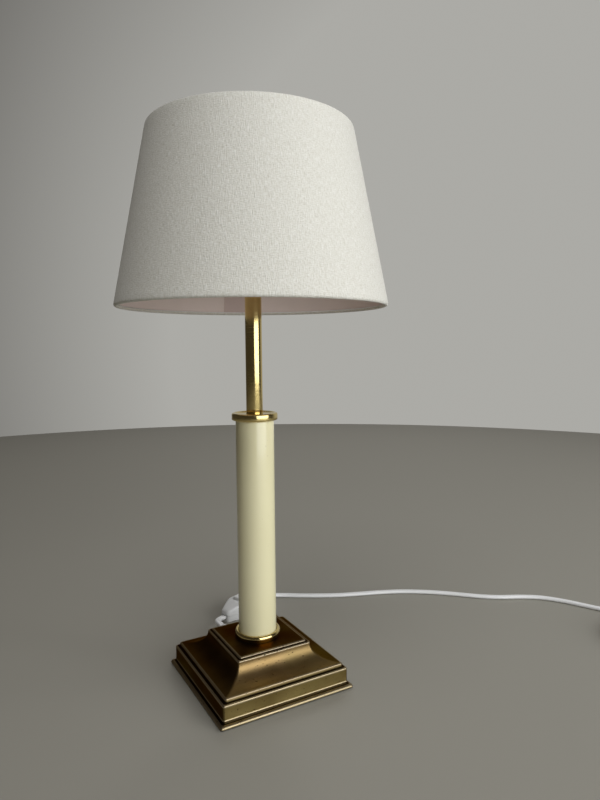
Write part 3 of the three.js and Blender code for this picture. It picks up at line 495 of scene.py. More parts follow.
def clean(shape):
    """Doubles merged and every face turned outwards."""
    bmesh.ops.remove_doubles(shape, verts=shape.verts, dist=same_point)
    bmesh.ops.recalc_face_normals(shape, faces=shape.faces)
    return shape


def closed_line(shape, wear_and_painted_light, points):
    """Edges through (x, y, z) or (x, y, z, edge) points and back to the first."""
    line = []
    for point in points:
        vert = shape.verts.new(point[:3])
        vert[wear_and_painted_light] = point[3] if len(point) > 3 else 0.5
        line.append(vert)
    return [shape.edges.new((line[i - 1], line[i])) for i in range(len(line))]


def turned(outline, sides=144):
    """A closed outline of (radius, height) or (radius, height, edge) points spun round the upright axis."""
    shape = bmesh.new()
    wear_and_painted_light = shape.verts.layers.float.new("edge")
    edges = closed_line(shape, wear_and_painted_light, [(radius, 0, *rest) for radius, *rest in outline])
    full_turn = {"cent": (0, 0, 0), "axis": (0, 0, 1), "angle": 2 * math.pi, "use_merge": True}
    bmesh.ops.spin(shape, geom=[*shape.verts, *edges], steps=sides, **full_turn)
    on_axis = [e for e in shape.edges if all(v.co.xy.length < 1e-7 for v in e.verts)]
    inside = [e for e in on_axis if e.calc_length() > 1e-3]
    bmesh.ops.delete(shape, geom=inside, context="EDGES")
    return clean(shape)


def pipe(inner, outer, foot, top, ease=0.25, sides=144):
    """A turned tube with its rims rounded."""
    return turned(eased([(inner, foot), (outer, foot), (outer, top), (inner, top)], ease), sides)


def skinned(rings, cyclic=False):
    """A skin over closed rings of (x, y, z) or (x, y, z, edge) points, its ends flat unless it is cyclic."""
    shape = bmesh.new()
    wear_and_painted_light = shape.verts.layers.float.new("edge")
    loops = [closed_line(shape, wear_and_painted_light, points) for points in rings]
    following = loops[1:] + loops[:1] if cyclic else loops[1:]
    for one, other in zip(loops, following):
        bmesh.ops.bridge_loops(shape, edges=one + other)
    if not cyclic:
        bmesh.ops.edgeloop_fill(shape, edges=loops[0])
        bmesh.ops.edgeloop_fill(shape, edges=loops[-1])
    return clean(shape)


def box(low, high):
    """A plain block, for cutting."""
    shape = bmesh.new()
    size = Vector(high) - Vector(low)
    middle = (Vector(high) + Vector(low)) / 2
    bmesh.ops.create_cube(shape, size=1, matrix=Matrix.Translation(middle) @ Matrix.Diagonal((*size, 1)))
    return shape


def rod(radius, foot, top):
    """A plain round bar, for cutting and for posts."""
    return turned([(0, foot), (radius, foot), (radius, top), (0, top)], 24)


def placed(shape, matrix):
    """The shape with its points taken through a matrix."""
    bmesh.ops.transform(shape, matrix=matrix, verts=shape.verts)
    return shape


def moved(shape, x, y, z):
    return placed(shape, Matrix.Translation((x, y, z)))


def rotated(shape, turn, axis):
    return placed(shape, Matrix.Rotation(math.radians(turn), 4, axis))


def metres(shape):
    """A shape drawn in millimetres, scaled to metres."""
    return placed(shape, Matrix.Scale(millimetre, 4))


def mesh_of(name, shape):
    mesh = bpy.data.meshes.new(name)
    shape.to_mesh(mesh)
    shape.free()
    return mesh


def in_scene(name, data):
    made = bpy.data.objects.new(name, data)
    bpy.context.scene.collection.objects.link(made)
    return made


def joined(*shapes):
    """Several closed shapes in one."""
    whole = shapes[0]
    for shape in shapes[1:]:
        mesh = mesh_of("part", shape)
        whole.from_mesh(mesh)
        bpy.data.meshes.remove(mesh)
    return whole


def carved(shape, *cutters, operation="DIFFERENCE"):
    """The shape with the cutters taken out of it, or joined to it."""
    objects = [in_scene("solid", mesh_of("solid", solid)) for solid in (shape, *cutters)]
    for tool in objects[1:]:
        cut = objects[0].modifiers.new("cut", "BOOLEAN")
        cut.operation = operation
        cut.solver = "EXACT"
        cut.object = tool
    result = bmesh.new()
    result.from_object(objects[0], bpy.context.evaluated_depsgraph_get())
    bmesh.ops.remove_doubles(result, verts=result.verts, dist=same_cut_point)
    bmesh.ops.holes_fill(result, edges=result.edges, sides=3)
    for made in objects:
        mesh = made.data
        bpy.data.objects.remove(made)
        bpy.data.meshes.remove(mesh)
    return result


def press(vert, radius, phase, depth):
    """A point of a turned wall pushed inwards by a wave's depth at its phase."""
    out = vert.co.xy.length
    if out > radius - 0.01:
        wave = 0.5 - 0.5 * math.cos(phase)
        vert.co.xy *= (out - depth * wave) / out


def threaded(shape, foot, top, radius, pitch, depth):
    """A screw thread pressed into the turned wall between two heights."""
    for vert in shape.verts:
        if foot < vert.co.z < top:
            turn = math.atan2(vert.co.y, vert.co.x)
            press(vert, radius, 2 * math.pi * vert.co.z / pitch - turn, depth)
    return shape


def knurled(shape, radius, count, depth):
    """Shallow upright grooves round a turned rim."""
    for vert in shape.verts:
        press(vert, radius, count * math.atan2(vert.co.y, vert.co.x), depth)
    return shape


def swept(section, path, upright=upwards):
    """A closed section of (across, up) points carried along a path, kept upright, with flat ends."""
    path = [Vector(point) for point in path]
    shape = bmesh.new()
    previous = station(path, 0, upright)
    ring = [shape.verts.new(previous @ Vector((point[0], point[1], 0))) for point in section]
    first = shape.faces.new(ring)
    edges = list(first.edges)
    for i in range(1, len(path)):
        grown = bmesh.ops.extrude_edge_only(shape, edges=edges)["geom"]
        current = station(path, i, upright)
        verts = [g for g in grown if isinstance(g, bmesh.types.BMVert)]
        bmesh.ops.transform(shape, matrix=current @ previous.inverted(), verts=verts)
        edges = [g for g in grown if isinstance(g, bmesh.types.BMEdge) and all(v in verts for v in g.verts)]
        previous = current
    bmesh.ops.contextual_create(shape, geom=edges)
    return clean(shape)


def station(path, i, upright):
    """The frame of a section at one point of a path."""
    ahead = (path[min(i + 1, len(path) - 1)] - path[max(i - 1, 0)]).normalized()
    across = ahead.cross(upright).normalized()
    up = across.cross(ahead)
    turn = Matrix((across, up, -ahead)).transposed()
    return Matrix.Translation(path[i]) @ turn.to_4x4()


def smooth_route(points, spacing):
    """A Catmull-Rom curve through the points, as points about a spacing apart."""
    points = [Vector(point) for point in points]
    padded = [2 * points[0] - points[1], *points, 2 * points[-1] - points[-2]]
    path = []
    for a, b, c, d in zip(padded, padded[1:], padded[2:], padded[3:]):
        steps = max(2, round((c - b).length / spacing))
        for k in range(steps):
            t = k / steps
            bend = (2 * a - 5 * b + 4 * c - d) * t**2 + (3 * b - a - 3 * c + d) * t**3
            path.append((2 * b + (c - a) * t + bend) / 2)
    path.append(points[-1])
    return path


def round_section(radius, sides=12):
    """A circle of (across, up) points."""
    turns = [2 * math.pi * i / sides for i in range(sides)]
    return [(radius * math.cos(turn), radius * math.sin(turn)) for turn in turns]


def body_holding(name):
    """The body that a CAD node is on."""
    bodies = frame["record"]["behaviour"]["bodies"]
    return next(body for body, names in bodies.items() if name in names)


def add_piece(name, shape, surface, *nodes, sharp=35):
    """The shape as a piece that stands for CAD nodes, which it hides, and moves with their body."""
    mesh = mesh_of(name, shape)
    mesh.materials.append(surface)
    mesh.shade_smooth()
    mesh.set_sharp_from_angle(angle=math.radians(sharp))
    piece = in_scene(name, mesh)
    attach(piece, body_holding(nodes[0]))
    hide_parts(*nodes)
    return piece


def dress(surface, *names):
    """A finish for CAD nodes whose shape is kept."""
    for name in names:
        materials = frame["nodes"][name].data.materials
        materials.clear()
        materials.append(surface)


# Camera and free cord


def make_camera():
    """The photograph's viewing angle."""
    data = bpy.data.cameras.new("camera")
    data.lens = focal_length
    data.sensor_width = sensor_long_side
    camera = in_scene("camera", data)
    turn = Matrix.Rotation(camera_turn, 4, "Z")
    tip = Matrix.Rotation(math.pi / 2 + camera_pitch, 4, "X")
    roll = Matrix.Rotation(camera_roll, 4, "Z")
    camera.matrix_world = Matrix.Translation(camera_place) @ turn @ tip @ roll
    bpy.context.scene.camera = camera


def flat_section():
    """Two round cores side by side under one skin, with a shallow groove between them."""
    half = cord_thickness / 2
    core = cord_width / 2 - half
    right = arc((core, 0), half, half, -90, 90, 8)
    left = arc((-core, 0), half, half, 90, 270, 8)
    return [*right, (0, half - cord_groove), *left, (0, cord_groove - half)]


def coil_path():
    """The coil, clockwise seen from above: in on the surface, up a layer, and out again on top."""
    count = round(coil_turns * coil_steps)
    middle = count / 2
    climb = coil_steps / 4
    floor = coil_lift + cord_thickness / 2
    path = []
    for i in range(count + 1):
        angle = coil_start - 2 * math.pi * i / coil_steps
        radius = coil_inner + coil_pitch * abs(i - middle) / coil_steps
        t = min(max((i - middle + climb) / (2 * climb), 0), 1)
        height = floor + coil_layer * t * t * (3 - 2 * t)
        path.append(coil_centre + Vector((radius * math.cos(angle), radius * math.sin(angle), height)))
    return path


def inner_cord():
    """The round cord inside: from the strain relief over the base's floor and up the threaded rod."""
    bend = [(0, y, z) for y, z, _ in arc((10, 16.5), 10, 10, 270, 180, 12)]
    path = [(0, 46.4, 10), (0, 41.4, 10), (0, 34.4, 9), (0, 26.4, 7.3), (0, 18.4, 6.5), *bend]
    path.append((0, 0, 314.5))
    return swept(round_section(2.6), path, upright=Vector((1, 0, 0)))


def make_cords(sheath):
    """The lead from the base to the switch, and the main flex from the switch to the plug."""
    lead_path = smooth_route(lead_route, 0.002)
    lead = add_piece("flex_lead", swept(flat_section(), lead_path), sheath, "cord_lead", sharp=60)
    main_path = smooth_route(run_route, 0.004) + coil_path() + smooth_route(tail_route, 0.002)
    shape = swept(flat_section(), main_path)
    flex = add_piece("flex", shape, sheath, "cord_run", "cord_coil", "cord_tail", sharp=60)


# Shade


def on_slope(along, inwards):
    """A point of the shade's wall, along its slope from the foot and inwards from its face."""
    slope = Vector((shade_top_radius - shade_bottom_radius, shade_top - shade_foot)).normalized()
    inward = Vector((-slope.y, slope.x))
    point = Vector((shade_bottom_radius, shade_foot)) + slope * along + inward * inwards
    return point.x, point.y


def slope_length():
    """The length of the shade's wall from foot to top."""
    return math.hypot(shade_bottom_radius - shade_top_radius, shade_top - shade_foot)


def hem(end, radius, start, stop):
    """The cloth's turn round a wire at one end of the slope: 1 at the top, -1 at the foot."""
    middle = hem_roll if end < 0 else slope_length() - hem_roll
    return [
        on_slope(middle + end * along, hem_roll - inwards)
        for inwards, along, _ in arc((0, 0), radius, radius, start, stop, 8)
    ]


def unroll(shape):
    """UVs in metres: round the shade and up its slope."""
    layer = shape.loops.layers.uv.new("UVMap")
    middle_radius = (shade_bottom_radius + shade_top_radius) / 2
    lean = 0.2
    for face in shape.faces:
        middle = face.calc_center_median()
        turn = math.atan2(middle.y, middle.x)
        back = Matrix.Rotation(-turn, 3, "Z")
        for loop in face.loops:
            place = back @ loop.vert.co
            round_it = (turn + math.atan2(place.y, place.x)) * middle_radius
            loop[layer].uv = (round_it, place.z - place.x * lean)
    return shape


def shade_cloth():
    """One sheet rolled over a wire at the top and the foot."""
    inner = hem_roll - cloth_thickness
    length = slope_length()
    foot_turn = hem_roll + hem_return
    depth = 2 * hem_roll
    plain = length - 2 * hem_roll
    wall = [on_slope(length - hem_roll - plain * i / shade_steps, 0) for i in range(1, shade_steps)]
    back = [on_slope(hem_roll + plain * i / shade_steps, cloth_thickness) for i in range(1, shade_steps)]
    return turned([
        *hem(1, hem_roll, 180, 0),
        *wall,
        *hem(-1, hem_roll, 0, 180),
        on_slope(foot_turn, depth),
        on_slope(foot_turn, depth - cloth_thickness),
        *hem(-1, inner, 180, 0),
        *back,
        *hem(1, inner, 0, 180),
        on_slope(length - foot_turn, depth - cloth_thickness),
        on_slope(length - foot_turn, depth),
    ], shade_sides)


def lining_section(depth):
    """The lining between the two wires, at a depth behind the cloth's face."""
    foot = hem_roll + wire_radius + sheet_gap
    top = slope_length() - foot
    face = depth + lining_thickness
    return [on_slope(foot, depth), on_slope(top, depth), on_slope(top, face), on_slope(foot, face)]


def lap(section):
    """A strip up the slope where the sheet's two ends overlap, over a few degrees."""
    rings = []
    for i in range(lap_steps + 1):
        turn = math.radians(lap_start + (lap_stop - lap_start) * i / lap_steps)
        rings.append([(r * math.cos(turn), r * math.sin(turn), z) for r, z in section])
    return skinned(rings)


def fitter_ring():
    """A flat ring between the two knurled rings, with its rim rounded."""
    return pipe(fitter_inner, fitter_outer, fitter_foot, fitter_foot + fitter_thickness, 0.35)


def shade_arm(turn):
    """A bent wire from the fitter ring up to the top edge, welded to the ring."""
    level = fitter_foot + fitter_thickness / 2
    end = on_slope(slope_length() - hem_roll - 0.001, 2 * hem_roll + wire_radius)
    end_radius, end_height = (c / millimetre for c in end)
    knee = fitter_outer + 8
    knee_height = level + 5
    route = [
        (fitter_outer + 0.3, 0, level),
        (fitter_outer + 4, 0, level),
        (knee, 0, knee_height),
        ((knee + end_radius) / 2, 0, (knee_height + end_height) / 2),
        (end_radius, 0, end_height),
    ]
    wire = swept(round_section(arm_radius, 16), smooth_route(route, 1.5))
    weld = bmesh.new()
    bmesh.ops.create_uvsphere(weld, u_segments=16, v_segments=10, radius=arm_radius + 0.3)
    weld = moved(weld, fitter_outer + 0.6, 0, level)
    return rotated(joined(wire, weld), turn, "Z")


def make_shade(cloth, lining, painted_shade_lining, wire):
    """The cloth and the lining, each with its lap, and the two wires that the cloth is rolled round."""
    cover = add_piece("shade_cloth", unroll(shade_cloth()), cloth, "shade_cover", sharp=60)
    length = slope_length()
    foot = hem_roll
    top = length - hem_roll
    rise = -0.0004
    outer_lap = lap([on_slope(foot, 0), on_slope(top, 0), on_slope(top, rise), on_slope(foot, rise)])
    seam = add_piece("cloth_lap", unroll(outer_lap), cloth, "shade_cover")
    back = cloth_thickness + lining_gap
    add_piece("lining_cone", unroll(turned(lining_section(back), shade_sides)), lining, "shade_lining")
    inner_lap = unroll(lap(lining_section(back + lining_thickness)))
    add_piece("lining_lap", inner_lap, painted_shade_lining, "shade_lining")
    for name, node_name, along in (("foot_hoop", "bottom_wire", foot), ("top_hoop", "top_wire", top)):
        hoop = turned(arc(on_slope(along, hem_roll), wire_radius, wire_radius, 0, 345, 23))
        add_piece(name, hoop, wire, node_name)


# Base


def square_ring(half, height, edge=0.5):
    """A square with round corners at a height, and how worn it is."""
    return [(x, y, height, edge) for x, y in rounded_rectangle(half, half, corner_radius)]


def shell_outside():
    """The shell's section from its lower edge up: lip, groove, band, ledge, cove, bead and plateau. The third
    value of a point is 1 on edges that hands rub, where a painted highlight is also laid, and 0 in grooves,
    which are painted dark for dirt and as painted shade."""
    return [
        *arc((lip_half - 0.5, rim_height + 0.5), 0.5, 0.5, -90, 0, 4),
        *arc((lip_half - 2, lip_top - 1.9), 2, 1.9, 5, 88, 10, 0.9),
        *arc((lip_half - 2, band_foot + 0.1), lip_half - band_half - 2, 1.5, 262, 195, 6, 0),
        *arc((band_half - 0.1, band_foot + 0.4), 0.4, 0.4, -40, 60, 5, 1),
        (band_half, band_foot + 1.2, 0.5),
        (band_half, band_top - 1.8, 0.5),
        *arc((band_half - 1, band_top - 1), 1, 1, 0, 90, 6, 1),
        *arc((band_half - 1, band_top + 0.9), band_half - ledge_half - 1, 0.7, 262, 188, 5, 0),
        *arc((ledge_half - 1, ledge_top - 1), 1, 1, 0, 75, 6, 0.9),
        *arc((cove_foot, cove_top), cove_width, ledge_top - cove_top, 90, 180, 30),
        *arc((cove_foot - cove_width - 0.9, cove_top + 0.2), 0.9, 0.9, 0, 80, 5, 1),
        *arc((plateau_half + 0.9, cove_top + 1.7), 0.7, 0.6, 265, 190, 5, 0),
        *arc((plateau_half - 0.8, plateau_top - 0.8), 0.8, 0.8, 0, 90, 5, 0.9),
        (plateau_half - 1.8, plateau_top, 0.5),
    ]


def shell_inside():
    """The shell's inner face from its top down."""
    wall = shell_wall
    return [
        (plateau_half - wall, plateau_top - wall, 0.5),
        *arc((cove_foot, cove_top), cove_width + wall, ledge_top - cove_top - wall, 180, 90, 12),
        (band_half - wall, band_top - wall, 0.5),
        (band_half - wall, band_foot - 1, 0.5),
        (lip_half - wall, 2.2, 0.5),
        (lip_half - wall, rim_height, 0.5),
    ]


def base_shell():
    """Pressed brass, square in plan, with a round hole for the rod and one at the back for the cord."""
    rings = [square_ring(*point) for point in shell_inside() + shell_outside()]
    outlet = moved(rotated(rod(outlet_radius, 0, 6), -90, "X"), 0, band_half - 4, outlet_height)
    return carved(skinned(rings), rod(rod_hole, plateau_top - 4, plateau_top + 2), outlet)


def felt_sheet():
    """A square of felt with its cut edge softened."""
    ease = 0.5
    return skinned([
        square_ring(felt_half - ease, 0),
        square_ring(felt_half, ease),
        square_ring(felt_half, felt_thickness - ease),
        square_ring(felt_half - ease, felt_thickness),
    ])


def strain_relief():
    """A moulded taper with ribs that let it bend, snapped into the shell's rear wall."""
    wall_inside = band_half - shell_wall - 0.3
    flange = band_half + 0.5
    flange_radius = 4.2
    neck = outlet_radius - 0.3
    outline = [
        (0, wall_inside - 2),
        (flange_radius, wall_inside - 2),
        (flange_radius, wall_inside),
        (neck, wall_inside),
        (neck, flange),
        (flange_radius, flange),
        (flange_radius, flange + 2),
        (outlet_radius, flange + 2.3),
    ]
    pitch = (relief_end - flange - 3) / relief_ribs
    for i in range(relief_ribs):
        foot = flange + 3 + pitch * i
        top = foot + pitch - 0.5
        rib = 4.05 - 0.65 * i / relief_ribs
        outline += [(rib - 0.5, foot), (rib, foot + 0.25), (rib, top - 0.25), (rib - 0.5, top)]
    outline += [(2.9, relief_end - 0.1), (2.4, relief_end), (0, relief_end)]
    relief = turned(eased(outline, 0.18, 3), 48)
    return moved(rotated(relief, -90, "X"), 0, 0, outlet_height)


# Column, collars and stem


def lower_collar():
    """A ring with a round belly, whose socket and spigot hold the column's foot."""
    z = plateau_top
    return turned([
        (rod_hole, z),
        (17.1, z),
        (17.4, z + 0.2),
        (17.5, z + 0.7),
        *arc((collar_belly, z + 2.6), 1.55, 2.5, -12, 96, 16),
        (15.3, z + 5.0),
        (14.98, z + 4.75),
        (collar_socket, z + 3.3),
        (collar_socket, column_foot),
        (collar_spigot, column_foot),
        (collar_spigot, column_foot + 4),
        (rod_hole, column_foot + 4),
    ])


def upper_collar():
    """A ring with a round belly, dished on top round the stem."""
    z = column_top
    return turned([
        (rod_hole, z - 4),
        (collar_spigot, z - 4),
        (collar_spigot, z),
        (collar_socket, z),
        (15.15, z + 0.12),
        *arc((collar_belly, z + 1.5), 1.4, 1.3, -70, 0, 8),
        *arc((collar_belly, z + 4.3), 1.4, 1.5, 4, 105, 14),
        (14.9, z + 5.5),
        (14.2, z + 5.05),
        (13.5, z + 4.85),
        (13.0, z + 4.8),
        (stem_radius + 0.5, z + 4.8),
        (stem_radius + 0.3, z + 4.6),
        (stem_radius + 0.3, stem_foot),
        (rod_hole, stem_foot),
    ])


# Lampholder and bulb


def holder_cap():
    """A spun cup on a short neck, its shoulder rounded, with a hole for the screw that locks the rod."""
    z = holder_foot
    neck = 8
    inside = holder_radius - 1.2
    cup = turned(eased([
        (rod_hole, z),
        (neck, z),
        (neck, z + 6.7),
        (9.4, z + 7.2),
        (12.4, z + 9.6),
        (14.0, z + 11.2),
        (holder_radius, z + 13),
        (holder_radius, skirt_foot),
        (inside, skirt_foot),
        (inside, z + 12.8),
        (11.4, z + 11.2),
        (neck, z + 8.6),
        (rod_hole, z + 8.6),
    ], 0.6), 96)
    screw_hole = rotated(rod(1.6, 0, 10), 90, "Y")
    return carved(cup, moved(screw_hole, 0, 0, z + 3.5))


def holder_skirt():
    """The lower skirt's outer thread carries the two shade rings."""
    inside = skirt_radius - 1
    mouth = 9
    depth = 0.3
    wall = [(skirt_radius, skirt_foot + 0.25 * i) for i in range(2, 77)]
    outline = [(inside, skirt_foot), (skirt_radius - depth, skirt_foot), *wall, (13.3, skirt_top)]
    outline += [(mouth, skirt_top), (mouth, skirt_top - 1.2), (inside, skirt_top - 1.2)]
    return threaded(turned(outline, 96), skirt_foot + 0.6, skirt_top - 1, skirt_radius, 1.5, depth)


def shade_ring(foot):
    """A moulded ring with a knurled rim, for turning by hand."""
    top = foot + ring_height
    edge = ring_radius - 0.6
    rim = [(edge, foot), (ring_radius, foot + 0.5), (ring_radius, top - 0.5), (edge, top)]
    ring = turned([(ring_bore, foot), *rim, (ring_bore, top)], 320)
    return knurled(ring, ring_radius, 40, 0.35)


def bulb_tip():
    """A drop of solder."""
    z = bulb_foot
    top = z + bulb_tip_height
    return turned([(0, z), (0.9, z + 0.05), (1.7, z + 0.3), (2.2, z + 0.8), (2.3, top), (0, top)], 48)


def bulb_cap():
    """A small screw cap with its rolled thread."""
    foot = bulb_foot + bulb_tip_height
    top = foot + bulb_cap_height
    radius = bulb_cap_radius
    inside = radius - 0.4
    wall = [(radius, foot + 2.6 + 0.3 * i) for i in range(44)]
    outline = [(0, foot), (4, foot), (inside, foot + 2.1), *wall]
    outline += [(radius, top), (inside, top), (inside, foot + 3), (0, foot + 3)]
    return threaded(turned(outline, 72), foot + 2.5, top - 1.2, radius, 2.8, 0.45)


def bulb_globe():
    """Blown round glass whose neck is cemented in the cap."""
    middle = bulb_foot + bulb_length - bulb_radius
    z = bulb_foot + bulb_tip_height + bulb_cap_height
    inside = bulb_radius - 0.8
    hollow = arc((0, middle), inside, inside, 90, -44, 24)
    swell = arc((0, middle), bulb_radius, bulb_radius, -44, 90, 28)
    bore = [(7.6, z + 2.9), (6.2, z + 1.6), (5.3, z + 0.6), (5.3, z - 4)]
    neck = [(6.1, z - 4), (6.1, z + 0.3), (7.0, z + 1.0), (8.4, z + 2.2)]
    wall = [*hollow[1:], *bore, *neck, *swell[:-1]]
    return turned([(0, hollow[0][1]), *wall, (0, swell[-1][1])], 96)


# Cord switch, plug and tie


def cross_ring(x, half, low, high, radius):
    """A round-cornered section across X, between two heights."""
    middle = (low + high) / 2
    return [(x, y, middle + z) for y, z in rounded_rectangle(half, (high - low) / 2, radius)]


def switch_body(low, inset, radius):
    """The switch's outer form through its stations, from a level up."""
    blunt = 27.6
    end = 27.9
    ends = [(-x, half, height) for x, half, height in switch_stations]
    path = smooth_route(ends + switch_stations[-2::-1], 1.5)
    stations = [p for p in path if abs(p.x) < blunt - inset]
    if not inset:
        half, height = switch_stations[0][1:]
        for x, less in ((blunt, 0.5), (end, 1.0)):
            stations.insert(0, Vector((-x, half - less, height - less)))
            stations.append(Vector((x, half - less, height - less)))
    return skinned([cross_ring(p.x, p.y - inset, low, p.z - inset, radius) for p in stations])


def cord_slots():
    """Blocks that cut the cord's way in at both ends."""
    half = 3.5
    return [box((x - half, -3, 3.1), (x + half, 3, 6.9)) for x in (-switch_slot, switch_slot)]


def laid(shape, place):
    """A shape drawn along X, turned and moved to where it lies."""
    x, y, turn = place
    return moved(rotated(shape, turn, "Z"), x, y, 0)


def flat_block(half_across, half_up, radius, heights):
    """A round-cornered block between two heights."""
    outline = rounded_rectangle(half_across, half_up, radius)
    return skinned([[(x, y, height) for x, y in outline] for height in heights])


def switch_cover():
    """The upper shell, with a round-cornered opening for the rocker."""
    opening = flat_block(11.117, 5.5, 0.8, (8, 18))
    below = box((-40, -20, -5), (40, 20, cover_foot))
    inside = switch_body(2, switch_wall, 1)
    return laid(carved(switch_body(1.5, 0, 2.2), inside, below, opening, *cord_slots()), switch_place)


def switch_base():
    """The lower shell, with two sunk screws."""
    above = box((-40, -20, tub_top), (40, 20, 30))
    inside = switch_body(switch_wall, switch_wall, 1)
    tub = carved(switch_body(0, 0, 1.4), inside, above, *cord_slots())
    screws = (-switch_screw, switch_screw)
    posts = [moved(rod(3.6, 0.8, tub_top), x, 0, 0) for x in screws]
    sinks = [moved(rod(2.7, -1, 1.9), x, 0, 0) for x in screws]
    holes = [moved(rod(1.5, -1, 9), x, 0, 0) for x in screws]
    return laid(carved(carved(tub, *posts, operation="UNION"), *sinks, *holes), switch_place)


def switch_rocker():
    """Two sloping faces that meet in a valley over the pin, with narrowed sides and a bore for the pin."""
    side = [(4, -3), (10.2, -1.5), (10.5, 0), (10.5, 2.6), (9.6, 3.3)]
    outline = eased([*side, (0, 2), *[(-x, z) for x, z in reversed(side)]], 0.6)
    middle = 0.6
    rings = []
    for y, scale in ((-5.2, 0.94), (-4.9, 0.98), (-4.5, 1), (4.5, 1), (4.9, 0.98), (5.2, 0.94)):
        rings.append([(x * scale, y, middle + (z - middle) * scale) for x, z, _ in outline])
    bore = rotated(rod(1.5, -10, 10), 90, "X")
    rocker = rotated(carved(skinned(rings), bore), rocker_tilt, "Y")
    return laid(moved(rocker, 0, 0, rocker_pivot), switch_place)


def plug_body():
    """A flat moulded body that swells from the cord to a grip with hollowed sides."""
    stations = [
        (0, 3.2, 2.3), (4.5, 3.5, 2.7), (8.8, 4.2, 3.3), (11, 6.4, 4.5), (14, 11.2, 6.2), (17, 15, 6.75),
        (20, 17.3, 6.85), (24, 17.1, 6.85), (28, 16.6, 6.85), (32, 17.2, 6.85), (35.2, 17.1, 6.7),
        (36.4, 16.6, 6.3), (plug_length, 15.8, 5.6),
    ]
    path = smooth_route(stations, 0.9)
    z = plug_middle
    rings = [cross_ring(p.x, p.y, z - p.z, z + p.z, min(p.z * 0.8, 3.6)) for p in path]
    holes = [at_pin(rod(2.3, pin_root - 0.3, plug_length + 3), side) for side in (-1, 1)]
    return laid(carved(skinned(rings), *holes), plug_place)


def at_pin(shape, side):
    """A shape drawn upright, laid along the plug at one of its two pins."""
    return moved(rotated(shape, 90, "Y"), 0, side * pin_span / 2, plug_middle)


def plug_pin(side):
    """A round pin, its tip domed and its root thinner under the sleeve."""
    tip = plug_length + 19
    shoulder = plug_length + 9.6
    outline = [(0, pin_root), (1.5, pin_root), (1.5, shoulder), (2, shoulder + 0.3), (2, tip - 1.6)]
    outline += [(1.85, tip - 0.8), (1.4, tip - 0.25), (0.7, tip), (0, tip)]
    return laid(at_pin(turned(outline, 48), side), plug_place)


def pin_sleeve(side):
    """The moulded sleeve round a pin's root."""
    sleeve = pipe(1.55, 1.95, plug_length - 5, plug_length + 9.5, 0.15, 48)
    return laid(at_pin(sleeve, side), plug_place)


def cord_tie():
    """A woven strap round the coil, its end lapped on top."""
    half_height = (tie_top - tie_foot) / 2
    side = tie_half_width
    edge = side - 0.2
    rings = []
    for y, out in ((-side, 0), (-edge, 0.2), (edge, 0.2), (side, 0), (edge, -0.2), (-edge, -0.2)):
        outline = rounded_rectangle(tie_half + out, half_height + out, 1.4 + out)
        rings.append([(x, y, tie_foot + half_height + z) for x, z in outline])
    end = flat_block(7, side - 0.1, 1, (tie_top + 0.18, tie_top + 0.75))
    tie = moved(joined(skinned(rings, cyclic=True), end), tie_middle, 0, 0)
    centre = coil_centre / millimetre
    return moved(rotated(tie, 160, "Z"), centre.x, centre.y, 0)


# Set


def make_floor():
    """A plain round floor under the lamp."""
    shape = bmesh.new()
    bmesh.ops.create_circle(shape, cap_ends=True, radius=floor_radius, segments=128)
    mesh = mesh_of("floor", shape)
    mesh.materials.append(new_surface("floor_paint", (0.33, 0.315, 0.275), 0.6))
    in_scene("floor", mesh)


def add_light(name, turn, distance, height, size, power):
    """A soft light aimed at the middle of the object, turned from the camera towards the picture's right."""
    data = bpy.data.lights.new(name, "AREA")
    data.shape = "RECTANGLE"
    data.size, data.size_y = size
    data.energy = power
    light = in_scene(name, data)
    turn = math.radians(turn)
    light.location = (picture_right * math.sin(turn) + towards_camera * math.cos(turn)) * distance
    light.location.z = height
    aim = Vector((0, 0, aim_height)) - light.location
    light.rotation_euler = aim.to_track_quat("-Z", "Y").to_euler()
    return light


def light_room():
    """A room that is pale behind the object and dark in front of it, with a little even light, and four soft
    lights: on the right, at the side, above and behind."""
    world = bpy.data.worlds.new("room")
    bpy.context.scene.world = world
    world.use_nodes = True
    tree = world.node_tree
    direction = node(world, "ShaderNodeTexCoord").outputs["Generated"]
    bright_side = picture_right * 0.342 - towards_camera * 0.94
    side = node(world, "ShaderNodeVectorMath", {0: direction, 1: bright_side}, operation="DOT_PRODUCT")
    brightness = spread(world, side.outputs["Value"], 0.5, 0.85)
    wall = blended(world, brightness, (0.045, 0.04, 0.034), (0.41, 0.405, 0.38))
    shown = node(world, "ShaderNodeBackground", {"Color": wall}).outputs[0]
    even = node(world, "ShaderNodeBackground", {"Color": (1, 0.87, 0.62, 1), "Strength": 0.035}).outputs[0]
    ray = node(world, "ShaderNodeLightPath").outputs
    seen = combined(world, ray["Is Camera Ray"], ray["Is Glossy Ray"], "MAXIMUM")
    seen = combined(world, seen, ray["Is Transmission Ray"], "MAXIMUM")
    either = node(world, "ShaderNodeMixShader", {0: seen, 1: even, 2: shown}).outputs[0]
    tree.links.new(either, tree.nodes["World Output"].inputs["Surface"])
    add_light("window", 45, 1.5, 0.58, (1.8, 1.12), 18.5).data.color = (0.96, 0.99, 1)
    add_light("side_window", 84, 1.5, 0.8, (0.9, 1.2), 5.5).visible_glossy = False
    add_light("pale_wall", -12, 0.8, 1.9, (1.0, 1.0), 9).visible_glossy = False
    add_light("back_window", 172, 1.6, 1.4, (1.4, 0.8), 9).visible_glossy = False


make_camera()
sheath = cord_sheath()
white = moulded_white()
brass = polished_brass()
aged = aged_brass()
enamel = moulded_white("wire_enamel", (0.82, 0.82, 0.8), 0.4)
nickel = plated("nickel", (0.7, 0.68, 0.63), 0.22)
steel = plated("steel", (0.55, 0.55, 0.56), 0.35)

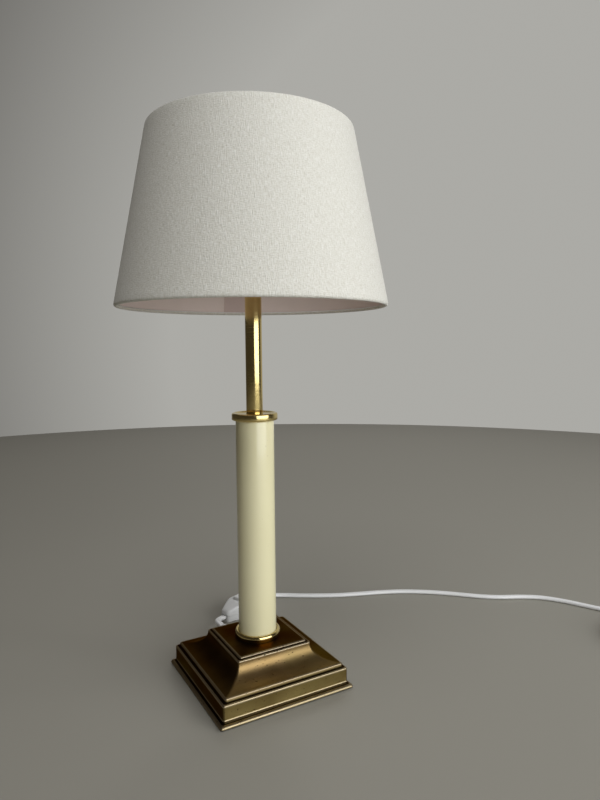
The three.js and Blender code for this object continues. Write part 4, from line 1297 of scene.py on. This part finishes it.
cover = add_piece("switch_shell", metres(switch_cover()), white, "switch_cover")
tub = add_piece("switch_tub", metres(switch_base()), white, "switch_base")
rocker = add_piece("rocker_cap", metres(switch_rocker()), white, "switch_rocker")
plug = [add_piece("plug_moulding", metres(plug_body()), white, "plug_body")]
for number, side in ((1, -1), (2, 1)):
    plug.append(add_piece(f"pin_{number}", metres(plug_pin(side)), nickel, f"plug_pin_{number}"))
    plug.append(add_piece(f"pin_sleeve_{number}", metres(pin_sleeve(side)), white, f"plug_pin_{number}"))
plug.append(add_piece("tie_strap", metres(cord_tie()), strap_weave(), "cord_tie"))
make_cords(sheath)

lining = lining_sheet("lining_sheet", (0.92, 0.8, 0.76))
# The lap's lining is a darker copy of the lining: painted shade for the lesser light that comes through two
# layers
make_shade(linen(), lining, lining_sheet("doubled_lining_painted_shade", (0.7, 0.57, 0.54)), enamel)
add_piece("fitter_plate", metres(fitter_ring()), enamel, "fitter_ring")
for number, turn in enumerate(arm_turns, 1):
    add_piece(f"arm_{number}", metres(shade_arm(turn)), enamel, f"shade_arm_{number}")

add_piece("shell", metres(base_shell()), aged, "base_shell", sharp=50)
felt = add_piece("felt_pad", metres(felt_sheet()), green_felt(), "base_felt")
column_shape = pipe(column_bore, column_radius, column_foot, column_top, 0.4)
for name, shape, surface, node_name in (
    ("relief", strain_relief(), white, "strain_relief"),
    ("collar_foot", lower_collar(), brass, "lower_collar"),
    ("collar_top", upper_collar(), brass, "upper_collar"),
    ("stem_tube", pipe(stem_bore, stem_radius, stem_foot, holder_foot), brass, "stem"),
    ("column_tube", column_shape, cream_lacquer(), "column"),
    ("holder_cup", holder_cap(), brass, "holder_cap"),
    ("threaded_skirt", holder_skirt(), brass, "holder_skirt"),
    ("fixed_ring", shade_ring(lower_ring_foot), brass, "lower_shade_ring"),
    ("turning_ring", shade_ring(clamp_ring_foot), brass, "clamp_ring"),
    ("solder_tip", bulb_tip(), nickel, "bulb_tip"),
    ("screw_cap", bulb_cap(), nickel, "bulb_cap"),
    ("globe", bulb_globe(), opal_glass(), "bulb_glass"),
):
    add_piece(name, metres(shape), surface, node_name)
add_piece("inner_flex", metres(inner_cord()), sheath, "inner_cord", sharp=60)

dress(steel, "base_plate", "rod_nut", "rod_washer", "plate_screw_1", "plate_screw_2", "threaded_rod")
dress(steel, "holder_lock_screw", "switch_screw_1", "switch_screw_2")
dress(rough_iron(), "base_weight")
dress(glazed_white(), "holder_core")
dress(nickel, "centre_contact", "thread_shell", "terminal_screw_1", "terminal_screw_2", "rocker_pin")
dress(brass, "switch_contact_1", "switch_contact_2")
make_floor()
light_room()
bpy.context.scene.view_settings.view_transform = "Standard"
